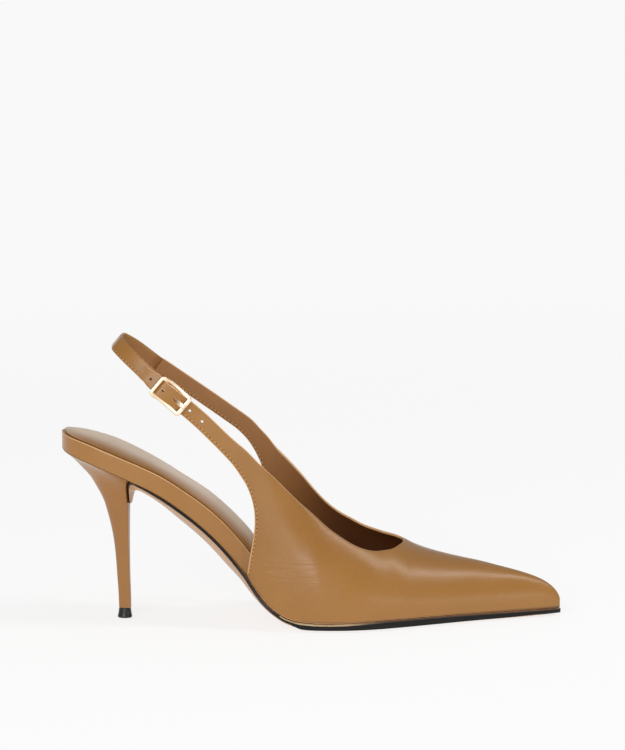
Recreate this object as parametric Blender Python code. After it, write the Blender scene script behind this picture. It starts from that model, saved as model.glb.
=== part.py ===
"""Slingback pump for the right foot: a pointed vamp, a covered heel seat, a stiletto heel and a
buckled strap round the heel.

The toe points along +X and the wearer's left is +Y, so the outer side with the buckle faces -Y.
The floor is z = 0. The origin lies on it, under the flat tread of the forepart.
Stations run along X from the back of the seat, 0, to the tip of the toe, 1.
"""
import math
from bisect import bisect_right

import bmesh
import bpy
from mathutils import Vector

# Driving dimensions, in metres
LENGTH = 0.2466            # back of the seat to the tip of the toe, level
BALL_WIDTH = 0.0745        # widest part of the sole
HEEL_HEIGHT = 0.0843       # floor to the top of the heel at its back
THROAT_HEIGHT = 0.0386     # floor to the vamp's top edge on the instep
STRAP_HEIGHT = 0.1380      # floor to the middle of the strap behind the heel
STRAP_WIDTH = 0.0079
WALL = 0.0015              # leather and lining together
SOLE_BED = 0.0040          # top of the outsole over the floor at the ball
WAIST_EDGE = 0.0018        # outsole's edge in the waist
EDGE_RISE = 0.0010         # outsole's lower edge over the tread
WAIST_CROWN = 0.0046       # bulge of the outsole's underside in the waist
TOE_SPRING = 0.0012
MEDIAL_LIFT = 0.0026       # inner side of the bed over the outer side, under the arch
RAND_HEIGHT = 0.0096       # covered insole board at the heel
SOCK = 0.0009              # padded sock on the board
SOCK_MARGIN = 0.0016       # board left bare round the sock
TOP_LIFT_HEIGHT = 0.0047
TOP_LIFT_LENGTH = 0.0075
BUCKLE_LENGTH = 0.0181
BUCKLE_WIDTH = 0.0118
BUCKLE_WIRE = 0.0014
CENTRE_WIRE = 0.0012
PRONG_WIRE = 0.0009
HOLE = 0.0014
HOLE_PITCH = 0.0079
HOLES = 5
PRONG_HOLE = 2             # counted from the strap's free end, from 0
PRONG_PULL = 0.0010        # how far the prong has drawn its hole out each way
GAP = 0.0003               # clearance between pieces that meet

# Where the tread touches the floor, as stations
TREAD_CENTRE = 0.531
TREAD_BACK = 0.476
TREAD_FRONT = 0.61


def table(names, *rows):
    """Named columns from a short table with one row for each station."""
    return {name: [row[i] for row in rows] for i, name in enumerate(names.split())}


def read(columns, name, at):
    """A column's value at a place in the first column, on a smooth curve that never overshoots."""
    xs = next(iter(columns.values()))
    ys = columns[name]
    if at <= xs[0]:
        return ys[0]
    if at >= xs[-1]:
        return ys[-1]
    steps = [b - a for a, b in zip(xs, xs[1:])]
    slopes = [(b - a) / h for a, b, h in zip(ys, ys[1:], steps)]

    def tangent(k):
        if k == 0:
            return slopes[0]
        if k == len(slopes):
            return slopes[-1]
        before, after = slopes[k - 1], slopes[k]
        if before * after <= 0:
            return 0.0
        w1 = 2 * steps[k] + steps[k - 1]
        w2 = steps[k] + 2 * steps[k - 1]
        return (w1 + w2) / (w1 / before + w2 / after)

    i = bisect_right(xs, at) - 1
    h = steps[i]
    t = (at - xs[i]) / h
    return ((1 + 2 * t) * (1 - t) ** 2 * ys[i] + t * (1 - t) ** 2 * h * tangent(i)
            + t * t * (3 - 2 * t) * ys[i + 1] + t * t * (t - 1) * h * tangent(i + 1))


def mix(a, b, t):
    return a + (b - a) * t


def ease(t):
    t = min(1.0, max(0.0, t))
    return t * t * (3 - 2 * t)


# Outline of the sole from above, as shares of BALL_WIDTH from the middle line
PLAN = table(
    "station lateral medial",
    (0.000, 0.000, 0.000), (0.006, 0.121, 0.121), (0.020, 0.208, 0.208), (0.045, 0.279, 0.279),
    (0.085, 0.333, 0.330), (0.130, 0.349, 0.344), (0.190, 0.344, 0.330), (0.260, 0.319, 0.295),
    (0.330, 0.319, 0.271), (0.385, 0.357, 0.295), (0.430, 0.411, 0.354), (0.480, 0.464, 0.424),
    (0.520, 0.491, 0.470), (0.560, 0.491, 0.499), (0.610, 0.462, 0.502), (0.670, 0.395, 0.467),
    (0.740, 0.301, 0.395), (0.810, 0.207, 0.309), (0.870, 0.132, 0.234), (0.920, 0.072, 0.172),
    (0.960, 0.027, 0.126), (0.985, -0.008, 0.094), (0.995, -0.024, 0.072), (1.000, -0.043, 0.043))

# Top of the outsole on the outer side: arch rises with HEEL_HEIGHT, spring with TOE_SPRING,
# lift with MEDIAL_LIFT, crown with WAIST_CROWN
BED = table(
    "station arch spring lift crown",
    (0.000, 1.018, 0.0, 0.0, 0.70), (0.043, 0.976, 0.0, 0.0, 0.70), (0.083, 0.929, 0.0, 0.0, 0.70),
    (0.122, 0.879, 0.0, 0.0, 0.70), (0.152, 0.838, 0.0, 0.0, 0.70), (0.185, 0.787, 0.0, 0.0, 0.82),
    (0.210, 0.740, 0.0, 0.0, 0.92), (0.255, 0.636, 0.0, 0.0, 1.12), (0.280, 0.573, 0.0, 0.1, 1.14),
    (0.310, 0.487, 0.0, 0.3, 1.16), (0.330, 0.420, 0.0, 0.5, 1.18), (0.351, 0.342, 0.0, 0.8, 1.14),
    (0.372, 0.259, 0.0, 1.0, 0.92), (0.390, 0.174, 0.0, 1.0, 0.74), (0.406, 0.112, 0.0, 0.9, 0.56),
    (0.426, 0.061, 0.0, 0.6, 0.40), (0.450, 0.021, 0.0, 0.2, 0.30), (0.480, 0.004, 0.0, 0.0, 0.26),
    (0.530, 0.000, 0.0, 0.0, 0.26), (0.580, 0.000, 0.3, 0.0, 0.26), (0.640, 0.000, 0.65, 0.0, 0.26),
    (0.700, 0.000, 0.68, 0.0, 0.26), (0.760, 0.000, 0.55, 0.0, 0.26), (0.890, 0.000, 0.02, 0.0, 0.26),
    (1.000, 0.000, -0.26, 0.0, 0.26))

# Height of the covered board over the bed, as shares of RAND_HEIGHT, and how far its side
# stands in from the sole's, as shares of the upper's wall and clearance together
RAND = table(
    "station height drop inset",
    (0.000, 0.84, 0.02, 0.1), (0.020, 0.86, 0.05, 0.1), (0.060, 0.930, 0.07, 0.1),
    (0.100, 0.955, 0.04, 0.1), (0.150, 0.96, 0.09, 0.1), (0.185, 1.00, 0.15, 0.1),
    (0.212, 1.036, 0.18, 0.1), (0.230, 1.06, 0.15, 0.1), (0.260, 1.12, 0.07, 0.1),
    (0.295, 1.22, 0.04, 0.1), (0.330, 1.31, 0.05, 0.2), (0.358, 1.37, 0.06, 0.7),
    (0.371, 1.40, 0.06, 1.1), (0.400, 1.50, 0.04, 1.1), (0.422, 1.35, 0.02, 1.1),
    (0.446, 1.11, 0.0, 1.1), (0.470, 0.80, 0.0, 1.1), (0.495, 0.54, 0.0, 1.1),
    (0.520, 0.40, 0.0, 1.1), (0.550, 0.33, 0.0, 1.1), (1.000, 0.33, 0.0, 1.1))

# The last over the feather line: girth is the half width a little higher up and ridge_side the
# ridge's place, both as shares of BALL_WIDTH, and ridge its height as a share of THROAT_HEIGHT
LAST = table(
    "station lateral medial ridge_side ridge",
    (0.120, 0.215, 0.215, 0.00, 11.0), (0.150, 0.270, 0.270, 0.00, 11.0),
    (0.1825, 0.317, 0.313, 0.00, 11.0), (0.223, 0.339, 0.337, 0.00, 10.8),
    (0.284, 0.354, 0.351, 0.00, 10.0), (0.345, 0.370, 0.360, 0.01, 8.50),
    (0.385, 0.392, 0.370, 0.02, 6.20), (0.406, 0.411, 0.381, 0.03, 4.92),
    (0.430, 0.435, 0.397, 0.04, 3.63), (0.454, 0.459, 0.421, 0.04, 2.80),
    (0.480, 0.483, 0.448, 0.05, 2.23), (0.520, 0.507, 0.489, 0.05, 1.74),
    (0.560, 0.505, 0.515, 0.05, 1.46), (0.610, 0.475, 0.518, 0.05, 1.24),
    (0.650, 0.430, 0.497, 0.05, 1.090), (0.667, 0.412, 0.483, 0.048, 1.048),
    (0.684, 0.390, 0.467, 0.047, 1.000), (0.700, 0.366, 0.450, 0.047, 0.944),
    (0.740, 0.311, 0.405, 0.047, 0.852), (0.770, 0.270, 0.366, 0.047, 0.803),
    (0.810, 0.215, 0.316, 0.046, 0.748), (0.837, 0.182, 0.282, 0.046, 0.713),
    (0.870, 0.138, 0.240, 0.046, 0.658), (0.904, 0.096, 0.197, 0.045, 0.604),
    (0.938, 0.058, 0.156, 0.045, 0.538), (0.965, 0.024, 0.123, 0.044, 0.464),
    (0.985, -0.004, 0.096, 0.043, 0.368), (0.995, -0.020, 0.078, 0.043, 0.280),
    (1.000, -0.034, 0.056, 0.043, 0.190))

# Top edge of the vamp and wings, as shares of STRAP_HEIGHT
THROAT = 0.684
TOPLINE = table(
    "station lateral medial",
    (0.340, 0.685, 0.725), (0.371, 0.641, 0.680), (0.403, 0.580, 0.6250), (0.431, 0.533, 0.580),
    (0.454, 0.490, 0.540), (0.480, 0.444, 0.491), (0.505, 0.404, 0.437), (0.530, 0.361, 0.390),
    (0.555, 0.3280, 0.3555), (0.580, 0.2995, 0.332), (0.605, 0.2795, 0.3080), (0.630, 0.2700, 0.2955),
    (0.655, 0.2695, 0.2885), (0.670, 0.2755, 0.2855), (0.677, 0.2785, 0.2820), (0.684, 0.2795, 0.2795))

# Back edge of each wing from the sole up to the strap: stations, and heights as shares of
# STRAP_HEIGHT
WING = table(
    "height lateral medial",
    (0.190, 0.3706, 0.386), (0.216, 0.3735, 0.388), (0.262, 0.3775, 0.391), (0.312, 0.3828, 0.396),
    (0.348, 0.3856, 0.399), (0.377, 0.3872, 0.401), (0.412, 0.3868, 0.402), (0.448, 0.3838, 0.401),
    (0.487, 0.3776, 0.3995), (0.525, 0.3680, 0.3965))

# Strap's lower and upper edge where it widens into each wing, from the strap down: stations,
# and heights as shares of STRAP_HEIGHT
FLARE = {
    "lateral": table(
        "row low low_height high high_height",
        (0, 0.3130, 0.6475, 0.3358, 0.6885), (1, 0.3300, 0.6155, 0.3530, 0.6620),
        (2, 0.3445, 0.5870, 0.3690, 0.6385), (3, 0.3570, 0.5555, 0.3830, 0.6130),
        (4, 0.3680, 0.5250, 0.3990, 0.5840)),
    "medial": table(
        "row low low_height high high_height",
        (0, 0.3440, 0.6610, 0.3630, 0.7070), (1, 0.3590, 0.6360, 0.3790, 0.6845),
        (2, 0.3725, 0.6070, 0.3930, 0.6555), (3, 0.3850, 0.5700, 0.4070, 0.6300),
        (4, 0.3965, 0.5250, 0.4220, 0.5950)),
}

# Middle line of the strap beside the ankle: stations, heights as shares of STRAP_HEIGHT
STRAP_SIDE = {
    "lateral": table(
        "station height",
        (0.1120, 1.0020), (0.140, 0.9600), (0.182, 0.8960), (0.225, 0.8310), (0.264, 0.7705),
        (0.300, 0.7120), (0.3244, 0.6685)),
    "medial": table(
        "station height",
        (0.1120, 1.0020), (0.140, 0.9640), (0.182, 0.9010), (0.225, 0.8455), (0.264, 0.7970),
        (0.300, 0.7520), (0.3535, 0.6835)),
}
STUB_END = 0.190           # station where the inner wing's strap stops under the sling

# Heel: front height and widths from the floor to the seat. Heights are shares of HEEL_HEIGHT,
# back and front are stations, side is a share of BALL_WIDTH, and tilt is how far the row has
# turned from level to the seat
HEEL = table(
    "height back front side tilt",
    (0.0640, 0.1116, 0.1364, 0.0370, 0.0), (0.150, 0.1107, 0.1360, 0.0410, 0.0),
    (0.2450, 0.1086, 0.1350, 0.0470, 0.0), (0.365, 0.1061, 0.1346, 0.0560, 0.0),
    (0.4800, 0.1017, 0.1346, 0.0660, 0.02), (0.580, 0.0945, 0.1350, 0.0790, 0.06),
    (0.6680, 0.0858, 0.1358, 0.0940, 0.13), (0.6760, 0.0850, 0.1340, 0.0960, 0.14),
    (0.7200, 0.0772, 0.1340, 0.1080, 0.22), (0.7600, 0.0672, 0.1340, 0.1260, 0.34),
    (0.7950, 0.0554, 0.1346, 0.1560, 0.50), (0.8200, 0.0378, 0.1370, 0.2000, 0.68),
    (0.8380, 0.0208, 0.1410, 0.2620, 0.86), (0.8480, 0.0060, 0.1450, 0.3300, 1.0))

# Tongue of the outsole down the heel's breast, from its end up to the waist. Each place is a
# station and a height in shares of HEEL_HEIGHT: glue for the hidden face, edge and middle for
# the outer face. side is the half width as a share of BALL_WIDTH
TONGUE = table(
    "row glue glue_height edge edge_height middle middle_height side",
    (0, 0.1357, 0.680, 0.1388, 0.680, 0.1396, 0.680, 0.068),
    (1, 0.1357, 0.715, 0.1392, 0.706, 0.1410, 0.700, 0.084),
    (2, 0.1360, 0.750, 0.1400, 0.735, 0.1422, 0.718, 0.104),
    (3, 0.1372, 0.785, 0.1414, 0.768, 0.1436, 0.733, 0.134),
    (4, 0.1400, 0.813, 0.1440, 0.788, 0.1460, 0.741, 0.180),
    (5, 0.1450, 0.832, 0.1480, 0.800, 0.1500, 0.741, 0.245),
    (6, 0.1530, 0.836, 0.1545, 0.801, 0.1555, 0.737, 0.322))

SOLE_ROWS = (0.165, 0.180, 0.200, 0.225, 0.250, 0.275, 0.300, 0.325, 0.345, 0.362, 0.377, 0.390,
             0.402, 0.414, 0.428, 0.444, 0.460, TREAD_BACK, TREAD_CENTRE, TREAD_FRONT, 0.65, 0.70,
             0.75, 0.80, 0.85, 0.89, 0.925, 0.953, 0.973, 0.986, 0.994, 0.998, 1.0)
SOLE_ACROSS = (-1.0, -0.93, -0.62, -0.32, 0.0, 0.32, 0.62, 0.93, 1.0)
FLAT_SHARE = 0.62          # flat part of the tread, as a share of the half width
TREAD_SPRING = 0.0005      # tread over the floor at the tip of the toe
TIP_RISE = 0.0011          # further rise of the tread's last stretch, from TIP_START on
TIP_START = 0.88

BOARD_ROWS = (0.0, 0.0015, 0.006, 0.013, 0.023, 0.038, 0.06, 0.085, 0.12, 0.165, 0.20, 0.225,
              0.25, 0.275, 0.30, 0.325, 0.345, 0.362, 0.377, 0.39, 0.402, 0.414, 0.428, 0.444,
              0.46, 0.476, 0.50, 0.531, 0.61, 0.68, 0.75, 0.82, 0.88, 0.925, 0.96, 0.985, 1.0)
BOARD_ENDS = 0.1           # share of the length over which its rows are drawn in at each end
BOARD_ACROSS = (-1.0, -0.93, -0.62, -0.32, 0.0, 0.32, 0.62, 0.93, 1.0)
BOARD_ROUND = 0.0007       # rolled top edge of the board and of the sock

SIDE_COLUMNS = 12          # from the feather line to the top edge
STRAP_COLUMNS = 4          # the uppermost of them run on into the strap
VAMP_ROWS = (0.6895, 0.697, 0.708, 0.723, 0.742, 0.765, 0.79, 0.82, 0.85, 0.88, 0.91, 0.937,
             0.959, 0.976, 0.988, 0.9950, 0.9982)
# Wing rows from the back edge to the throat, as shares of the way
WING_ROWS = (0.057, 0.117, 0.180, 0.247, 0.320, 0.397, 0.477, 0.557, 0.635, 0.710, 0.778, 0.838,
             0.888, 0.930, 0.962, 0.985)
INNER_TIP = 0.972          # station where the toe's inside ends
FEATHER_INSET = 0.0003
GIRTH_RISE = 0.008         # height over which the upper swells from the feather line
ROUNDNESS = 2.15           # 2 is an ellipse, more is squarer


def x_at(station):
    return (station - TREAD_CENTRE) * LENGTH


def station_at(x):
    return x / LENGTH + TREAD_CENTRE


def plan(station, inset=0.0):
    """Outer and inner side of the sole's outline at a station."""
    lateral = -read(PLAN, "lateral", station) * BALL_WIDTH + inset
    medial = read(PLAN, "medial", station) * BALL_WIDTH - inset
    if lateral > medial:
        lateral = medial = (lateral + medial) / 2
    return lateral, medial


def bed(station, y=None):
    """Height of the outsole's top, or of the seat that the heel carries."""
    height = (SOLE_BED + read(BED, "arch", station) * (HEEL_HEIGHT - SOLE_BED)
              + read(BED, "spring", station) * TOE_SPRING)
    lift = read(BED, "lift", station) * MEDIAL_LIFT
    if y is None or lift == 0:
        return height
    lateral, medial = plan(station)
    return height + lift * ease((y - lateral) / max(medial - lateral, GAP))


def material(name, colour, roughness, metallic=0.0):
    made = bpy.data.materials.new(name)
    made.use_nodes = True
    shader = made.node_tree.nodes["Principled BSDF"]
    shader.inputs["Base Color"].default_value = (*colour, 1.0)
    shader.inputs["Roughness"].default_value = roughness
    shader.inputs["Metallic"].default_value = metallic
    return made


def add_object(name, points, faces, made):
    """One closed body from points and faces, welded and with its faces turned outwards."""
    mesh = bpy.data.meshes.new(name)
    shape = bmesh.new()
    corners = [shape.verts.new(point) for point in points]
    for face in faces:
        if len(set(face)) > 2:
            shape.faces.new([corners[i] for i in face])
    bmesh.ops.remove_doubles(shape, verts=shape.verts, dist=1e-6)
    bmesh.ops.recalc_face_normals(shape, faces=shape.faces)
    shape.to_mesh(mesh)
    shape.free()
    mesh.shade_smooth()
    mesh.set_sharp_from_angle(angle=math.radians(40))
    mesh.materials.append(made)
    thing = bpy.data.objects.new(name, mesh)
    bpy.context.scene.collection.objects.link(thing)
    return thing


def loft(name, rings, made, cap_first=True, cap_last=True):
    """A solid through closed rings that all have the same number of points."""
    count = len(rings[0])
    points = [point for ring in rings for point in ring]
    faces = []
    for r in range(len(rings) - 1):
        for i in range(count):
            j = (i + 1) % count
            faces.append((r * count + i, r * count + j, (r + 1) * count + j, (r + 1) * count + i))
    if cap_first:
        faces.append(tuple(range(count)))
    if cap_last:
        faces.append(tuple(range((len(rings) - 1) * count, len(rings) * count)))
    return add_object(name, points, faces, made)


def heel_side(height):
    """Half width of the heel where its breast is at this height."""
    return read(HEEL, "side", height / HEEL_HEIGHT) * BALL_WIDTH


def breast_bow(y, half_width):
    """How far the heel's breast falls back beside its middle line."""
    return 0.12 * half_width * (y / half_width) ** 2


def tongue_ring(row):
    """Cross-section of the outsole where it runs down the heel's breast."""
    side = TONGUE["side"][row] * BALL_WIDTH
    top, bottom = [], []
    for across in SOLE_ACROSS:
        y = across * side
        height = TONGUE["glue_height"][row] * HEEL_HEIGHT
        bow = breast_bow(y, heel_side(height)) * (1 - row / len(TONGUE["row"]))
        top.append((x_at(TONGUE["glue"][row]) - bow, y, height))
        middle = 1 - across * across
        x = mix(x_at(TONGUE["edge"][row]), x_at(TONGUE["middle"][row]), middle)
        z = mix(TONGUE["edge_height"][row], TONGUE["middle_height"][row], middle) * HEEL_HEIGHT
        bottom.append((x - bow, y, z))
    return top + bottom[::-1]


def tread_height(station):
    """Flat tread on the floor, and a slight rise ahead of it."""
    tip = max(0.0, (station - TIP_START) / (1 - TIP_START))
    return TREAD_SPRING * ease((station - TREAD_FRONT) / (1 - TREAD_FRONT)) + TIP_RISE * tip ** 2


def sole_ring(station):
    """Cross-section of the outsole: a thin edge and an underside that bulges from it."""
    lateral, medial = plan(station)
    step = 0.004
    slope = (bed(station + step) - bed(station - step)) / (2 * step * LENGTH)
    steep = math.hypot(1.0, slope)
    flat = ease((station - 0.40) / (TREAD_BACK - 0.40))
    if station >= TREAD_BACK:
        lean, drop = 0.0, 1.0
    else:
        lean, drop = slope / steep * (1 - flat), -mix(-1.0 / steep, -1.0, flat)
    top, bottom = [], []
    for across in SOLE_ACROSS:
        y = mix(lateral, medial, (across + 1) / 2)
        z = bed(station, y)
        top.append((x_at(station), y, z))
        bulge = mix(1 - across * across,
                    1 - max(0.0, (abs(across) - FLAT_SHARE) / (1 - FLAT_SHARE)) ** 2, flat)
        if medial == lateral:
            bulge = 0.0
        if station >= TREAD_BACK:
            under = tread_height(station) + EDGE_RISE * (1 - bulge)
            bottom.append((x_at(station), y, under))
        else:
            waist = WAIST_EDGE + read(BED, "crown", station) * WAIST_CROWN * bulge
            reach = z - EDGE_RISE * (1 - bulge)
            depth = mix(waist, min(waist * 1.35, reach), flat)
            bottom.append((x_at(station) + lean * depth, y, z - drop * depth))
    return top + bottom[::-1]


def make_outsole(made):
    rings = [tongue_ring(row) for row in range(len(TONGUE["row"]))]
    rings += [sole_ring(station) for station in SOLE_ROWS]
    return loft("outsole", rings, made, cap_last=False)


def board_top(station, y):
    """Top of the covered board over the bed, lower towards its inner side."""
    lateral, medial = plan(station)
    share = ease((y - lateral) / max(medial - lateral, GAP))
    height = read(RAND, "height", station) - share * read(RAND, "drop", station)
    return bed(station, y) + GAP + height * RAND_HEIGHT


def board_inset(station):
    return read(RAND, "inset", station) * (WALL + 2 * GAP)


def board_frame(t, margin=0.0):
    """Station and sides of the board's row t, which runs from 0 at the heel to 1 at the toe."""
    back = (board_inset(0.0) + margin) / LENGTH
    front = INNER_TIP - (3 * GAP + margin) / LENGTH
    near = BOARD_ENDS
    station = t
    if t < near:
        station = mix(back, near, t / near)
    if t > 1 - near:
        station = mix(1 - near, front, (t - 1 + near) / near)
    lateral, medial = plan(t)
    inset = min(board_inset(station) + margin, 0.35 * (medial - lateral))
    return station, lateral + inset, medial - inset


def plate(name, made, margin, low, high):
    """A flexible plate that follows the last's bottom, with a rolled top edge."""
    rings = []
    for t in BOARD_ROWS:
        station, lateral, medial = board_frame(t, margin)
        top, bottom = [], []
        for across in BOARD_ACROSS:
            y = mix(lateral, medial, (across + 1) / 2)
            roll = BOARD_ROUND if abs(across) == 1.0 or t in (0.0, 1.0) else 0.0
            top.append((x_at(station), y, high(station, y) - roll))
            bottom.append((x_at(station), y, low(station, y)))
        rings.append(top + bottom[::-1])
    return loft(name, rings, made, cap_first=False, cap_last=False)


def make_board(made):
    return plate("insole_board", made, 0.0,
                 lambda station, y: bed(station, y) + GAP,
                 board_top)


def make_sock(made):
    return plate("insole_sock", made, SOCK_MARGIN,
                 lambda station, y: board_top(station, y) + GAP,
                 lambda station, y: board_top(station, y) + GAP + SOCK)


def heel_ring(height):
    """Cross-section of the heel: a nearly flat breast and a round back."""
    share = height / HEEL_HEIGHT
    back, front = read(HEEL, "back", share), read(HEEL, "front", share)
    side, tilt = read(HEEL, "side", share) * BALL_WIDTH, read(HEEL, "tilt", share)
    ring = []
    breast_points, back_points = 7, 19
    for i in range(breast_points):
        y = side * 0.96 * mix(-1, 1, i / (breast_points - 1))
        ring.append((x_at(front) - breast_bow(y, side), y))
    for i in range(back_points):
        angle = math.pi * (i + 0.5) / back_points
        squarer = 0.86
        c, s = math.cos(angle), math.sin(angle)
        y = side * math.copysign(abs(c) ** squarer, c)
        x = x_at(mix(front, back, s ** squarer))
        ring.append((min(x, x_at(front) - breast_bow(y, side)), y))
    seat = bed(HEEL["front"][-1])
    return [(x, y, height + tilt * (bed(station_at(x)) - GAP - seat)) for x, y in ring]


def make_heel(made):
    heights = [h * HEEL_HEIGHT for h in HEEL["height"]]
    heights[0] = TOP_LIFT_HEIGHT + GAP
    rings = [heel_ring(h) for h in heights[:-1]]
    rings.append(seat_ring(len(rings[0])))
    return loft("heel", rings, made)


def seat_ring(count):
    """Top of the heel, cut to the sole's outline and to the seat."""
    front = HEEL["front"][-1]
    breast_points = 7
    back_points = count - breast_points
    lateral, medial = plan(front)
    ring = []
    for i in range(breast_points):
        y = mix(lateral, medial, mix(0.02, 0.98, i / (breast_points - 1)))
        ring.append((x_at(front) - breast_bow(y, medial) * 0.5, y))
    for i in range(back_points):
        angle = math.pi * (i + 0.5) / back_points
        station = max(0.0, front * (1 - math.sin(angle)))
        sides = plan(station)
        y = sides[1] if math.cos(angle) > 0 else sides[0]
        if abs(math.cos(angle)) < 0.5 / back_points:
            y = 0.0
        ring.append((x_at(station), y))
    return [(x, y, bed(station_at(x)) - GAP) for x, y in ring]


def make_top_lift(made):
    """Small flared cap that the heel stands on, flat on the floor."""
    back, front = HEEL["back"][0], HEEL["front"][0]
    middle = x_at((back + front) / 2)
    width = HEEL["side"][0] * BALL_WIDTH * 2
    length = (front - back) * LENGTH
    flare = TOP_LIFT_LENGTH / length
    rings = []
    for height, grow in ((0.0, flare * 0.93), (0.0004, flare), (0.0012, flare * 0.98),
                         (TOP_LIFT_HEIGHT - 0.0003, 1.02), (TOP_LIFT_HEIGHT, 0.95)):
        ring = []
        for i in range(24):
            angle = 2 * math.pi * i / 24
            x = math.cos(angle) * length / 2 * grow
            y = math.sin(angle) * width / 2 * grow
            ring.append((middle + min(x, length / 2 * grow * 0.9), y, height))
        rings.append(ring)
    return loft("top_lift", rings, made)


def section(side, station, height, inner):
    """Side of the upper at a station and a height, on its outer or its inner face."""
    wall = WALL if inner else 0.0
    sign = -1 if side == "lateral" else 1
    foot = sign * plan(station)[0 if side == "lateral" else 1] - FEATHER_INSET
    girth = read(LAST, side, station) * BALL_WIDTH
    start = bed(station, plan(station)[0 if side == "lateral" else 1]) + GAP
    swell = 1 - math.exp(-max(0.0, height - start) / GIRTH_RISE)
    width = mix(foot, girth, swell) - wall
    centre = read(LAST, "ridge_side", station) * BALL_WIDTH
    ridge = read(LAST, "ridge", station) * THROAT_HEIGHT - wall
    share = min(1.0, max(0.0, (height - start) / (ridge - start)))
    reach = (1 - share ** ROUNDNESS) ** (1 / ROUNDNESS)
    return centre + (sign * width - centre) * reach


def ridge_height(station, inner):
    return read(LAST, "ridge", station) * THROAT_HEIGHT - (WALL if inner else 0.0)


def inner_station(station):
    """Where the inside of the toe lies for a row of the outside."""
    if station <= THROAT:
        return station
    return THROAT + (station - THROAT) * (INNER_TIP - THROAT) / (VAMP_ROWS[-1] - THROAT)


def wall_point(side, low, high, top, column, inner, bulge=0.0, spread=(0.0, 0.0)):
    """Point of a row that starts at the feather line and ends at height top. Beside the back
    edge the columns keep the spread they have there."""
    v = column / SIDE_COLUMNS
    station = mix(low, high, v) + bulge
    if inner:
        station = inner_station(station)
    edge = plan(station)[0 if side == "lateral" else 1]
    start = bed(station, edge) + GAP
    ridge = ridge_height(station, inner)
    if top is None:
        top = ridge
    elif inner:
        top -= WALL * max(0.0, (top - start) / (ridge_height(station, False) - start))
    share = min(1.0, (top - start) / (ridge - start))
    swing = math.asin(min(1.0, max(0.05, share)))
    rise = mix(math.sin(v * swing) / math.sin(swing), *spread)
    height = start + (top - start) * rise
    return Vector((x_at(station), section(side, station, height, inner), height))


def back_edge_row(side, inner):
    """The wing's back edge from the sole up to the strap, then on across the strap's flare."""
    flare = FLARE[side]
    points = []
    lower = SIDE_COLUMNS - STRAP_COLUMNS
    start = WING["height"][0] * STRAP_HEIGHT
    end = WING["height"][-1] * STRAP_HEIGHT
    for column in range(lower):
        height = mix(start, end, column / lower)
        station = read(WING, side, height / STRAP_HEIGHT)
        if column == 0:
            edge = plan(station)[0 if side == "lateral" else 1]
            height = bed(station, edge) + GAP
        points.append(Vector((x_at(station), section(side, station, height, inner), height)))
    return points + flare_row(side, len(flare["row"]) - 1, inner)


def flare_row(side, row, inner):
    """Across the strap where it widens into the wing."""
    flare = FLARE[side]
    points = []
    for i in range(STRAP_COLUMNS + 1):
        v = i / STRAP_COLUMNS
        station = mix(flare["low"][row], flare["high"][row], v)
        height = mix(flare["low_height"][row], flare["high_height"][row], v) * STRAP_HEIGHT
        points.append(Vector((x_at(station), section(side, station, height, inner), height)))
    return points


# Buckle, along the outer strap: its place, and how far each layer stands out from the strap's
# inner face, as shares of WALL
BUCKLE_STATION = 0.225
CENTRE_BAR_PLACE = -0.26   # centre bar along the buckle, as a share of its length
CENTRE_BAR_OUT = 1.30
HOLED_STRAP = table(
    "along out",
    (-1.00, 1.16), (-0.64, 1.18), (-0.52, 1.28), (-0.43, 1.60), (-0.385, 2.0), (-0.335, 2.5),
    (-0.24, 2.58), (-0.12, 2.54), (0.00, 2.40), (0.105, 2.13), (0.21, 1.73), (0.31, 1.33), (0.46, 0.67),
    (0.62, 0.27), (0.78, 0.07), (0.95, 0.0), (2.00, 0.0))
FREE_END = -1.0            # end of the holed strap, in buckle lengths from the buckle
SKIVED = 0.5               # thickness of its end, as a share of WALL
SKIVED_LENGTH = 0.34       # stretch over which it thins, in buckle lengths


def strap_line(side, station):
    """Middle of the strap beside the ankle, its direction and its width direction."""
    columns = STRAP_SIDE[side]
    height = read(columns, "height", station) * STRAP_HEIGHT
    step = 0.004
    rise = (read(columns, "height", station + step) - read(columns, "height", station - step))
    along = Vector((2 * step * LENGTH, 0, rise * STRAP_HEIGHT)).normalized()
    across = Vector((-along.z, 0, along.x))
    return Vector((x_at(station), 0, height)), along, across


def strap_place(distance):
    """Station on the outer strap at a distance along it from the buckle's middle."""
    station = BUCKLE_STATION
    steps = 24
    for _ in range(steps):
        along = strap_line("lateral", station)[1]
        station += distance / steps * along.x / LENGTH
    return station


def outward(side, station):
    """Level direction straight out of the strap beside the ankle."""
    step = 0.004
    widening = read(LAST, side, station + step) - read(LAST, side, station - step)
    slope = widening * BALL_WIDTH / (2 * step * LENGTH)
    return Vector((-slope, -1 if side == "lateral" else 1, 0)).normalized()


def strap_point(distance, across, out):
    """Place by distance along the outer strap, distance over its middle line, and height over
    its inner face."""
    station = strap_place(distance)
    middle, _, over = strap_line("lateral", station)
    point = middle + over * across
    point.y = section("lateral", station, middle.z, True)
    return point + outward("lateral", station) * out


def strap_row(side, station, inner, narrow=0.0):
    middle, _, across = strap_line(side, station)
    points = []
    for i in range(STRAP_COLUMNS + 1):
        offset = mix(-1, 1, i / STRAP_COLUMNS) * (STRAP_WIDTH / 2 - narrow)
        point = middle + across * offset
        point.y = section(side, station_at(point.x), point.z, inner)
        points.append(point)
    return points


def holed_row(distance, inner, narrow=0.0):
    """Across the holed strap, which rides over the buckle's centre bar."""
    share = distance / BUCKLE_LENGTH
    skived = mix(SKIVED, 1.0, ease((share - FREE_END) / SKIVED_LENGTH))
    out = read(HOLED_STRAP, "out", share) * WALL + (0.0 if inner else WALL * skived)
    return [strap_point(distance, mix(-1, 1, i / STRAP_COLUMNS) * (STRAP_WIDTH / 2 - narrow), out)
            for i in range(STRAP_COLUMNS + 1)]


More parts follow.
